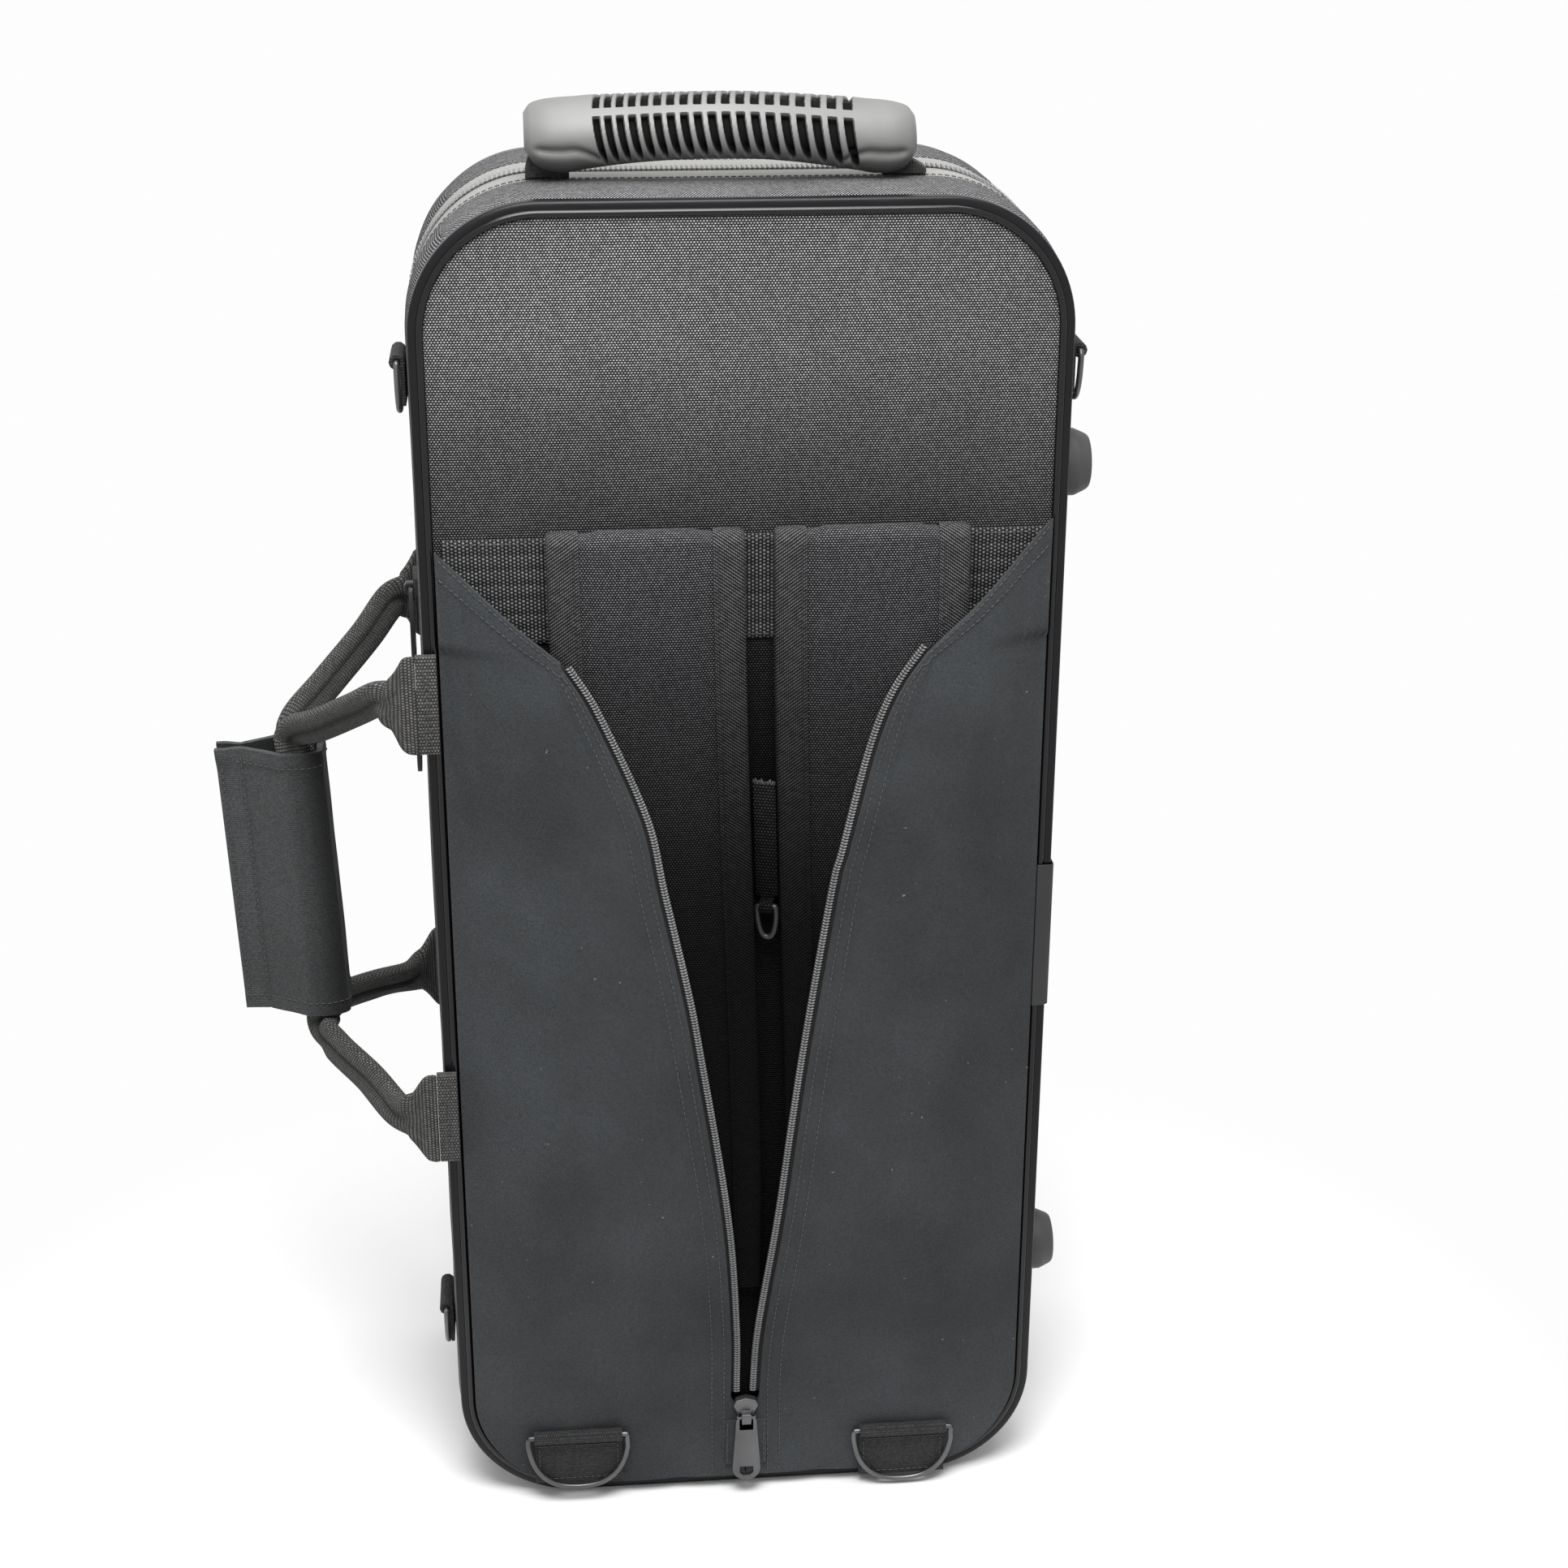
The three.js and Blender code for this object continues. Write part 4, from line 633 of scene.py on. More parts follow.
def stitchRow(path, ups=toFront, body="body", look="threadDark"):
    rows = stitchesOf.setdefault((body, look), [])
    for p, along, at in spaced(path, stitch["pitch"]):
        up = ups[min(at, len(ups) - 1)] if isinstance(ups, list) else ups
        rows.append((p + up * stitch["lift"], along, up))


# Padded shells of the two halves, with their inner walls

shell = {
    "panelInsets": (116, 98, 80, 62, 46, 34, 24, 15, 10), "softness": 0.35, "softSize": 30,
    "pucker": 0.7, "puckerSize": 34.0, "gussetSteps": 16, "tapeSink": (0.8, 2.7),
}
swellCurve = [(0, 0), (0.1, 0.45), (0.25, 0.8), (0.65, 1), (0.9, 0.75), (1, 0.3)]


def outwardAt(p):
    reach, low, high = outerX - case["corner"], case["corner"], caseTop - case["corner"]
    away = xyz(p.x - min(max(p.x, -reach), reach), 0, p.z - min(max(p.z, low), high))
    return away.normalized() if away.length > 1e-6 else Vector()


def shellSurface():
    edge, crown = piping["face"] + 2 * gap, case["crown"]
    crowns = [(edge, 0), (outerX / 5, crown / 4), (outerX / 2, crown / 2), (outerX, crown / 2)]
    rows = [(i, i, panelY - lookUp(crowns, i)) for i in shell["panelInsets"]]
    rows += [(edge, edge, panelY), (shellInset + 1, shellInset + 1, panelY)]
    rows += [(shellInset, shellInset, y) for y in (panelY + 1, gussetStart - gap)]
    for t in shares(shell["gussetSteps"]):
        rows.append((-case["bulge"] * lookUp(swellCurve, t), 0, mix(gussetStart, gussetEnd, t)))
    rows += [(*shell["tapeSink"], y) for y in (gussetEnd + gap, -case["zipGap"])]
    rows += [(linerInset, linerInset, y) for y in (-case["zipGap"], panelY + case["panel"])]
    surface = loft([outlineRing(*row) for row in rows])
    for p in surface[0]:
        if p.y <= panelY:
            p.y -= shell["softness"] * (0.5 + 0.5 * wander(p.x, p.z, 3, shell["softSize"]))
        elif gussetStart < p.y < gussetEnd and p.z > case["corner"] / 2:
            swell = math.sin(math.pi * (p.y - gussetStart) / (gussetEnd - gussetStart))
            p += outwardAt(p) * swell * shell["pucker"] * wander(p.x, p.y * 0.5, p.z, shell["puckerSize"])
    return surface


for half, sign in halves:
    made = turned(shellSurface(), sign)
    piece(half + "Shell", made, "panelCloth", half, [half + "_shell"], boxed=True)
print("shells")


# Piping: a flat ribbon round the edge with a glossy bead at its inner side


def pipingRibbon():
    face, bead, thickness = piping["face"], piping["bead"], piping["thickness"]
    low, back = frontY + piping["rise"] / 2, panelY - gap
    rows = [(0, frontY + piping["side"]), (0, low + 1.1), (0.25, low + 0.35), (0.8, low)]
    rows += [(face - bead - 0.2, low), (face - bead / 2, low + 0.6), (face - 0.2, low + 0.6)]
    rows += [(face, back), (shellInset, back + 0.4)]
    rows += [(thickness, back + 0.8), (thickness, frontY + piping["side"])]
    return around([(inset, inset, y) for inset, y in rows])


def pipingBead():
    radius, rows = piping["bead"] / 2, []
    for i in range(piping["beadSides"]):
        a = math.tau * i / piping["beadSides"]
        inset = piping["face"] - radius + radius * math.cos(a)
        rows.append((inset, inset, frontY + radius * 0.9 + radius * math.sin(a)))
    return around(rows)


for half, sign in halves:
    nodes = [half + "_piping"]
    piece(half + "PipingRibbon", turned(pipingRibbon(), sign), "pipingRibbon", half, nodes)
    piece(half + "PipingBead", turned(pipingBead(), sign), "pipingVinyl", half, nodes, 80)
dressed("piping_sleeve", "sleevePlastic", "body", 0.5, 3)
print("piping")


# Main zip: tapes with stitched edges, and teeth

mainZip = {
    "thickness": 0.9, "proud": 0.4, "coilProud": 1.1, "coilY": 1.55, "floor": 0.8, "pitch": 2.0,
    "bareEnds": 6, "rowInset": 1.8, "rowLift": 0.3, "rowFrom": 20,
}


def mainTape():
    back, front = gussetEnd + 2 * gap, -case["zipGap"]
    t, proud = mainZip["thickness"], mainZip["proud"]
    rows = [(0.0, back), (-proud - 0.25, back + 0.4), (-proud - 0.25, back + 2), (-proud, back + 3.2)]
    rows += [(-proud, -9.5), (-proud - 0.2, -8.5), (-proud, -7.5)]  # a shallow rib beside the coil
    rows += [(-proud, front - 0.3), (-proud + 0.2, front)]
    outer = [(inset, gap + max(inset + proud, 0), y) for inset, y in rows]
    inner = [(t - proud, gap + t, y) for y in (front, back)]
    return around(outer + inner, looped=False)


def mainCore():
    far = -case["zipGap"] + gap
    rows = [(1.6, 2.2, 0), (0, 1.2, 0), (-0.3, 0.9, 0.5), (-0.3, 0.9, 2.3), (1.6, 2.2, 2.5)]
    return around([(inset, floorInset, far + y) for inset, floorInset, y in rows], looped=False)


def mainTeeth(sign):
    line = outlineRing(-mainZip["coilProud"], mainZip["floor"], -mainZip["coilY"], looped=False)
    line = line[mainZip["bareEnds"] : -mainZip["bareEnds"]]
    at = sign * mainZip["coilY"]
    places = [p for p, _, _ in spaced(line, mainZip["pitch"])]
    return [(xyz(p.x, at, p.z), xyz(0, -sign, 0), outwardAt(p)) for p in places]


for half, sign in halves:
    tapeNode, coilNode = [half + "_zip_tape"], [half + "_zip_coil"]
    piece(half + "ZipTape", turned(mainTape(), sign), "zipTapeCloth", half, tapeNode)
    piece(half + "ZipCore", turned(mainCore(), sign), "coilCore", half, coilNode)
    repeatUnit(half + "ZipTeeth", mainTeeth(sign), toothUnit, "mainCoilNylon", half, coilNode)
    inset, y = -mainZip["proud"] - mainZip["rowLift"], gussetEnd + mainZip["rowInset"]
    row = [p for p in outlineRing(inset, 5, sign * -y, looped=False) if p.z > mainZip["rowFrom"]]
    stitchRow(row, [outwardAt(p) for p in row], half)
print("main zip")


# Cloth hinge between the halves

hinge = {
    "width": 23.6, "thickness": 0.9, "proud": 0.4, "bend": 5.0, "columns": 24, "rows": 60,
    "softness": 0.12, "softSize": 12, "seams": (20.6, 12.6),
}
hingeLow, hingeHigh = (p.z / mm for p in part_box("body_hinge_tape"))


def hingeSurface():
    rings = []
    for z in (mix(hingeLow, hingeHigh, t) for t in shares(hinge["rows"])):
        face = []
        for y in (mix(-hinge["width"], hinge["width"], t) for t in shares(hinge["columns"])):
            soft = hinge["softness"] * wander(y, z, 1, hinge["softSize"])
            face.append(xyz(outerX + hinge["proud"] + soft, y, z))
        rings.append(face + [p - xyz(hinge["thickness"], 0, 0) for p in face[::-1]])
    return loft(rings)


hingeNodes = ["body_hinge_tape", "lid_hinge_tape"]
hingeCloth = piece("hingeCloth", hingeSurface(), "panelCloth", None, hingeNodes, boxed=True)
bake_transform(hingeCloth)
for half, sign in halves:
    for y in hinge["seams"]:
        row = [xyz(outerX + hinge["proud"] + 0.1, sign * y, z) for z in (hingeLow + 2, hingeHigh - 2)]
        stitchRow(row, xyz(1, 0, 0), half)
print("hinge")


# Foam insert and liner

for node, body in (("body_insert", "body"), ("lid_liner", "lid")):
    dressed(node, "plushCloth", body, 1.6, 3)


# Moulded rubber handle on top

grip = {
    "length": 150.0, "rise": 22.8, "height": 25.8, "width": 31.8, "shift": -6.2, "droop": 2.6,
    "sagFull": 0.5, "lean": 0.5, "twist": 0.33, "pivotInset": 25.0, "pivotRise": 1.2, "steps": 460,
    "windows": 19, "ribbed": 101.0, "ribbedShift": 0.6, "growth": 1.45, "windowShare": 0.54,
    "endShare": 0.5, "slant": 0.26, "tip": 0.94, "rearTip": 0.46, "tipRound": 0.16, "spine": 3.4,
    "depth": 4.2, "rearDepth": 2.6, "mouth": 20.0, "channel": 18.6, "blackFrom": 0.6,
    "lobeStart": 42.5, "lobeLine": 0.5, "lobeDip": 0.75, "lobeRun": 16, "lobeWidth": 0.12,
    "lobeDepth": 1.6,
}
gripShares = [  # place from the end to the middle, centre's height, section's height and width
    (-1.0, 0.855, 0.362, 0.5), (-0.965, 0.833, 0.616, 0.74), (-0.9, 0.789, 0.87, 0.88),
    (-0.8, 0.772, 1, 0.93), (-0.7, 0.825, 0.957, 0.9), (-0.5, 0.912, 0.884, 0.86),
    (-0.25, 0.978, 0.855, 0.83), (0, 1, 0.848, 0.824),
]


def gripSection(x):
    key = -min(abs(x) / (grip["length"] / 2), 1)
    i = next(i for i, row in enumerate(gripShares[1:]) if key <= row[0])
    a, b, before = gripShares[i], gripShares[i + 1], gripShares[max(i - 1, 0)]
    after = gripShares[min(i + 2, len(gripShares) - 1)]
    span, t = b[0] - a[0], (key - a[0]) / (b[0] - a[0])
    out = []
    for c in (1, 2, 3):
        ma = (b[c] - before[c]) / (b[0] - before[0]) * span
        mb = (after[c] - a[c]) / (after[0] - a[0]) * span if after is not b else 0
        h = (2 * t**3 - 3 * t**2 + 1) * a[c] + (t**3 - 2 * t**2 + t) * ma
        out.append(h + (3 * t**2 - 2 * t**3) * b[c] + (t**3 - t**2) * mb)
    return out[0] * grip["rise"], out[1] * grip["height"] / 2, out[2] * grip["width"] / 2


def windowPlaces():
    weights = [mix(1, grip["growth"], t) for t in shares(grip["windows"] - 1)]
    unit = grip["ribbed"] / sum(weights)
    edge, places = grip["ribbedShift"] - grip["ribbed"] / 2, []
    for weight in weights:
        edge += weight * unit
        places.append((edge - weight * unit / 2, weight * unit))
    return places


# 1 in the middle of a window, 0 on the ribs, the spine and the ends
def windowMark(x, y, up, high, windows):
    if abs(x) >= grip["ribbed"] / 2 + 6:
        return 0.0
    fall, offset = (high - up) / (1.5 * high), x - grip["slant"] * (high - up)
    place, pitch = min(windows, key=lambda w: abs(offset - w[0]))
    half = pitch * grip["windowShare"] / 2 * (1 - (1 - grip["endShare"]) * smooth((fall - 0.35) / 0.65))
    tip = grip["tip"] if y < 0 else grip["rearTip"]
    tip -= abs(offset - place) / max(half, 0.1) * grip["tipRound"]
    mark = smooth((half - abs(offset - place)) / 0.7 + 0.5) * smooth((abs(y) - grip["spine"] / 2) / 0.8)
    return mark * smooth((tip - fall) / 0.08)


# The moulded ends overlap in a crease.
def creaseMark(x, share):
    start = abs(x) - grip["lobeStart"]
    line = grip["lobeLine"] - grip["lobeDip"] * (1 - clamped(start / grip["lobeRun"])) ** 2
    mark = smooth(start / 6) * smooth((grip["length"] / 2 - 2 - abs(x)) / 5)
    return mark * math.exp(-(((share - line) / grip["lobeWidth"]) ** 2))


def gripSurface():
    windows = windowPlaces()
    middle, twist = xyz(0, 0, grip["rise"]), Matrix.Rotation(grip["twist"], 3, "X")
    angles = [i * 4 for i in range(12)] + [48 + i * 1.4 for i in range(60)]  # finer across the windows
    angles += [132 + i * 4 for i in range(12)] + [180 + i * 4 for i in range(45)]
    rings, hollows = [], []
    for t in shares(grip["steps"]):
        x = mix(-0.5, 0.5, t) * grip["length"]
        centre, high, wide = gripSection(x)
        mouth = smooth((grip["mouth"] - (grip["length"] / 2 - abs(x))) / grip["mouth"])
        ring = []
        for a in map(math.radians, angles):
            c, s = math.cos(a), math.sin(a)
            y = wide * (math.copysign(abs(c) ** 0.75, c) if s < 0 else c)
            up = high * (0.92 * s if s < 0 else s)
            mark = windowMark(x, y, up, high, windows)
            inward = xyz(0, -y / wide, -up / high).normalized()
            p = xyz(x, y, centre + up) + inward * mark * (grip["depth"] if y < 0 else grip["rearDepth"])
            p += inward * creaseMark(x, up / high) * grip["lobeDepth"]
            p = middle + twist @ (p - middle)
            if s < 0 and abs(p.y) < grip["channel"] / 2:
                sink = mouth * smooth((grip["channel"] / 2 - abs(p.y)) / 1.5)
                p.z = mix(p.z, centre - 0.1 * high, sink)
            ring.append(p)
            hollows.append(mark)
        rings.append(ring)
    return loft(rings), hollows


# The right end hangs lower, and the webbing's sewn foot there is moved outwards.
def onHandle(surface, spread=0.0):
    pivot = xyz(grip["shift"], -grip["pivotInset"], caseTop + case["bulge"] / 2 + 2 * gap + grip["pivotRise"])
    tilt = Matrix.Rotation(grip["lean"], 3, "X")

    def settled(p):
        if p.x > 0:
            up = smooth(p.z / (grip["rise"] * grip["sagFull"]))
            drop = grip["droop"] * smooth(2 * p.x / grip["length"]) * up
            p = xyz(p.x + spread * (1 - up), p.y, p.z - drop)
        return pivot + tilt @ p

    return moved(surface, settled)


surface, hollows = gripSurface()
gripNodes = ["top_handle_grip"]
gripPiece = piece("topHandleGrip", onHandle(surface), "ribbedRubber", "top_handle", gripNodes, 60)
gripPiece.data.attributes.new("hollow", "FLOAT", "POINT").data.foreach_set("value", hollows)
# Painted shade: the deepest window faces get a near-black second material.
gripPiece.data.materials.append(looks["hollowRubber"])
for face in gripPiece.data.polygons:
    face.material_index = int(min(hollows[v] for v in face.vertices) > grip["blackFrom"])

webbing = {"width": 12.5, "base": 17.0, "thickness": 2.4, "steps": 10, "spread": 6.0}
climbShares = [(0, 0, 0), (0, 0.25, 0.1), (0.05, 0.55, 0.5), (0.35, 0.8, 0.95), (0.65, 1.015, 1)]


def handleWebbing():
    half = grip["length"] / 2
    end, first, centre = webbing["base"] / 2 - half, -0.7 * half, gripSection(0.8 * half)[0]
    rows = [(mix(end, first, a), up * centre, turn) for a, up, turn in climbShares]
    rows += [(x, gripSection(x)[0], 1) for x in (first, -38, -19)]
    rows += [(0, gripSection(0)[0], 1)] + [(-x, z, turn) for x, z, turn in rows[::-1]]
    line = spline([(x, 0, z) for x, z, _ in rows], webbing["steps"])
    turns = [clamped(turn) for turn in splineOf([row[2] for row in rows], webbing["steps"])]

    def thinAt(i):
        t = turns[i] * math.pi / 2
        return xyz(0, math.cos(t), math.sin(t))

    def sectionAt(i):
        return ovalSection(mix(webbing["base"], webbing["width"], turns[i]), webbing["thickness"], 20, 0.35)

    return sweep(line, sectionAt, thinAt)


made = onHandle(handleWebbing(), webbing["spread"])
piece("topHandleWebbing", made, "handleWebbingCloth", "top_handle", ["top_handle_webbing"])
for side in ("left", "right"):
    dressed("top_handle_anchor_" + side, "handleWebbingCloth", "body")
print("top handle")


# Webbing band across the panel

band = {
    "bottom": 0.702, "top": 0.776, "thickness": 1.6, "width": 236.0, "ribs": 7, "rise": 0.55,
    "steps": 80, "softness": 0.15, "softSize": 20, "loose": 0.35, "seamShares": (0.04, 0.96),
}
fabricFace = panelY - case["crown"] / 2 - gap
bandLow, bandHigh = atShare(band["bottom"]), atShare(band["top"])


def bandSurface():
    rings = []
    for share in shares(band["steps"]):
        x = mix(-0.5, 0.5, share) * band["width"]
        ring = [xyz(x, fabricFace, z) for z in (bandLow, bandHigh)]
        for t in shares(band["ribs"] * 8):
            rib = band["rise"] * (abs(math.sin(math.pi * t * band["ribs"])) ** 0.6 - 0.5)
            soft = band["softness"] * wander(x, 0, t * 9, band["softSize"])
            ring.append(xyz(x, fabricFace - band["thickness"] - rib + soft, mix(bandHigh, bandLow, t)))
        rings.append(ring)
    return loft(rings)


piece("webbingBand", bandSurface(), "webbingCloth", "body", ["webbing_band"], 60)
for share in band["seamShares"]:
    z = atShare(mix(band["bottom"], band["top"], share))
    stitchRow([xyz(s * band["width"] / 2, fabricFace - band["thickness"] - 0.2, z) for s in (-1, 1)])
print("band")


# Shoulder straps, folded over at the top, with twill bindings

strap = {
    "top": 0.7835, "bottom": 0.185, "backBottom": 0.36, "tuck": 0.31, "tuckDepth": 6.2,
    "width": 77.2, "pad": 5.0, "edge": 3.2, "pitch": 5.7, "bindingWidth": 12.5, "binding": 0.8,
    "seamInset": 1.8, "softness": 0.7, "softSize": 26, "steps": 60, "foldSteps": 14, "tuckSteps": 24,
    "places": {"left": (-39.6, 7.0), "right": (49.0, 6.0)},  # middle, and drift to the right at the foot
}
strapBack = fabricFace - band["thickness"] - band["loose"] - gap
strapTop = atShare(strap["top"])


def strapPath(centre, drift, trim=0.0):
    radius = strap["pitch"] / 2
    top = strapTop - strap["pad"] / 2 - radius
    middle = strapBack - strap["pad"] / 2 - radius
    back, front = atShare(strap["backBottom"]) + trim, atShare(strap["bottom"]) + trim
    tuck = atShare(strap["tuck"])
    line = [(middle + radius, mix(back, top, t)) for t in shares(strap["steps"])[:-1]]
    for t in shares(strap["foldSteps"]):
        line.append((middle + radius * math.cos(math.pi * t), top + radius * math.sin(math.pi * t)))
    line += [(middle - radius, mix(top, tuck, t)) for t in shares(strap["steps"])[1:]]
    for t in shares(strap["tuckSteps"])[1:]:
        line.append((middle - radius + strap["tuckDepth"] * smooth(t), mix(tuck, front, t)))
    full = strapTop - atShare(strap["bottom"])
    return [xyz(centre + drift * smooth((strapTop - z) / full), y, z) for y, z in line]


def strapSweep(path, sectionAt, column):
    rings = []
    for p, along in zip(path, tangents([xyz(0, p.y, p.z) for p in path])):
        thin = xyz(0, -along.z, along.y)
        rings.append([xyz(p.x + x, p.y, p.z) + thin * t for x, t in sectionAt(p)])
    return loft(rings, column=column)


def padSection(p):
    half = strap["width"] / 2 - strap["binding"] - gap
    seam = strap["width"] / 2 - strap["bindingWidth"] - gap
    front, rear = [], []
    for x in [-half, -seam - 2] + [mix(-seam, seam, t) for t in shares(26)] + [seam + 2, half]:
        inside = seam - abs(x)
        t = strap["edge"] / 2 + (strap["pad"] - strap["edge"]) / 2 * smooth(inside / 9)
        soft = strap["softness"] * smooth(inside / 12) * (0.5 + 0.5 * wander(x, 0, p.z, strap["softSize"]))
        rear.append((x, t))
        front.append((x, -t - soft * smooth(inside / 4)))
    return rear + front[::-1]


def bindingSection(side):
    outer = strap["width"] / 2
    inner = outer - strap["bindingWidth"]
    t = strap["edge"] / 2 + gap
    over = t + strap["binding"]
    turn = [(outer - 4, over), (outer - 1.2, over * 0.9), (outer - 0.2, over * 0.5)]
    points = [(inner, over), (inner + 0.4, over + 0.15), *turn, (outer, 0)]
    points += [(x, -y) for x, y in turn[::-1]] + [(inner + 0.4, -over - 0.15), (inner, -over), (inner, -t)]
    points += [(outer - strap["binding"], -t), (outer - strap["binding"], t), (inner, t)]
    return [(side * x, y) for x, y in points]


for name, (centre, drift) in strap["places"].items():
    node = "strap_" + name
    surface = strapSweep(strapPath(centre, drift), padSection, 45)
    pad = piece(node + "_padding", surface, "padCloth", "body", [node + "_pad"])
    trimmed = strapPath(centre, drift, gap)
    for edge, side in (("left", -1), ("right", 1)):
        surface = strapSweep(trimmed, lambda p: bindingSection(side), 8)
        nodes = [node + "_binding_" + edge]
        piece(node + "_" + edge + "_twill", surface, "bindingTwill", "body", nodes, 60)
        inner = side * (strap["width"] / 2 - strap["bindingWidth"] + strap["seamInset"])
        seam = xyz(inner, -strap["edge"] / 2 - gap - strap["binding"], 0)
        stitchRow([p + seam for p in trimmed[strap["steps"] + strap["foldSteps"] :]], look="threadDeep")
print("straps")


# Webbing tail with its ring

wire = {"thickness": 2.4, "sides": 14, "bend": 2.4}


def dRing(width, drop, bend=wire["bend"]):
    half, low = (width - wire["thickness"]) / 2, drop - wire["thickness"] / 2
    points = []
    for a in (math.radians(mix(12, 168, t)) for t in shares(10)):
        c = math.cos(a)
        points.append((half * math.copysign(abs(c) ** 0.8, c), 0, -low * math.sin(a) ** 0.9))
    turn = [(half, 0, -bend * 0.9), (half - bend * 0.25, 0, -bend * 0.2), (half - bend, 0, 0)]
    points += [(-x, 0, z) for x, _, z in turn] + [(0, 0, 0)] + turn[::-1]
    line = spline(points[-2:] + points + points[:2], 5)[10:-15]
    section = ovalSection(wire["thickness"], wire["thickness"], wire["sides"])
    return sweep(line, lambda i: section, lambda i: xyz(0, 1, 0), looped=True)


def placed(surface, at, turn=0.0, lean=0.0):
    rotation = Matrix.Rotation(turn, 3, "Z") @ Matrix.Rotation(lean, 3, "Y")
    return moved(surface, lambda p: at + rotation @ p)


tail = {
    "x": 7.7, "turn": -0.3, "lean": -0.027, "top": 0.597, "length": 54.0, "half": 4.5,
    "ring": 10.8, "drop": 15.0, "bend": 1.4, "threads": 16, "threadBack": 2.0,
}
tailY = strapBack - strap["pad"] / 2 - strap["pitch"] / 2
tailAt = xyz(tail["x"], tailY, atShare(tail["top"]) - tail["length"])
dressed("strap_tail_webbing", "tailWebbingCloth", "body")
made = placed(dRing(tail["ring"], tail["drop"], tail["bend"]), tailAt, tail["turn"], tail["lean"])
piece("tailRing", made, "darkMetal", "tail_ring", ["strap_tail_ring"], 80)
fray = random.Random(5)
frayed = []
c, s = math.cos(tail["turn"]), math.sin(tail["turn"])
start = tailAt + xyz(-tail["threadBack"] * s, tail["threadBack"] * c, tail["length"] + 0.3)
start.x += tail["lean"] * tail["length"]
for t in shares(tail["threads"] - 1):
    away = xyz(c, s, 0) * mix(-tail["half"], tail["half"], t)
    lean = xyz(fray.uniform(-0.3, 0.3), fray.uniform(-0.3, 0.3), 1).normalized()
    frayed.append((start + away + xyz(0, 0, fray.uniform(-0.5, 0.4)), lean, toFront))
repeatUnit("tailFray", frayed, stitchUnit, "threadDark", "body", ["strap_tail_webbing"], 0.3, 8)
print("tail")


# Pocket: two cloth flaps over the straps, left open

flap = {
    "thickness": 1.2, "rest": 0.5, "hemTop": {"left": 0.769, "right": 0.783}, "zipTop": 0.696,
    "bulgeBottom": 0.085, "bulgeFull": 0.28, "settle": 2.4, "roll": 36.0, "fold": 0.9, "folds": 4,
    "margin": 6.5, "columns": 84, "rows": 190, "hem": 9.5, "hemRise": 0.55, "freeHem": 10.4,
    "crease": 2.6, "creaseSize": 24.0, "straight": 56.0,
    "flat": {"left": (0.12, 0.464), "right": (0.122, 0.472)},
    "area": {"left": 0.0401, "right": 0.0404},
}
pocketZip = {
    "tapeWidth": 8.4, "tape": 0.8, "coilWidth": 3.8, "overlap": 7.5, "steps": 150, "pitch": 1.3,
    "foot": 50.15, "slant": 0.42, "toothSide": 0.66, "toothLift": 0.55,
}
coilShares = {  # height, and place across from the middle to the outer edge
    "left": [
        (0.088, -0.04), (0.15, -0.0416), (0.256, -0.0737), (0.393, -0.1616), (0.445, -0.2),
        (0.523, -0.2714), (0.58, -0.3231), (0.658, -0.4667), (0.6925, -0.5553),
    ],
    "right": [
        (0.088, 0.0173), (0.148, 0.0345), (0.254, 0.0965), (0.389, 0.1749), (0.52, 0.2667),
        (0.55, 0.298), (0.628, 0.3812), (0.669, 0.451), (0.701, 0.5459),
    ],
}
pocketSlider = {"x": -1.3, "share": 0.076, "reach": 6.0}
patchShare = pocketSlider["share"] - (pocketSlider["reach"] + gap) / caseTop
bandLift = bandLow - band["thickness"]
flapLow = fabricFace - flap["rest"]
flapHigh = strapBack - strap["pad"] - strap["pitch"] - 2.0
flapFront = flapLow - flap["fold"] - flap["settle"] - flap["thickness"]
sideOf = {"left": -1, "right": 1}
coilLines = {}
for name, rows in coilShares.items():
    coilLines[name] = [(p.x, p.y * outerX) for p in spline([(a, b, 0) for a, b in rows], 8)]


def flapHeight(x, z):
    fromEdge = smooth((outerX - piping["face"] - abs(x)) / flap["roll"])
    rise = smooth((z / caseTop - flap["bulgeBottom"]) / (flap["bulgeFull"] - flap["bulgeBottom"]))
    overBand = smooth((z - bandLift) / band["thickness"])
    low = flapLow - flap["settle"] * fromEdge - overBand * (band["thickness"] + band["loose"] + gap)
    folds = flap["fold"] * fromEdge * (1 - rise) * math.sin(math.pi * flap["folds"] * x / outerX)
    return mix(low, mix(low, flapHigh, fromEdge), rise) - abs(folds)


def innerEdge(z):
    half, radius = outerX - flap["margin"], case["corner"] - flap["margin"]
    low = flap["margin"] + radius
    return half if z >= low else half - radius + math.sqrt(max(radius**2 - (low - z) ** 2, 0))


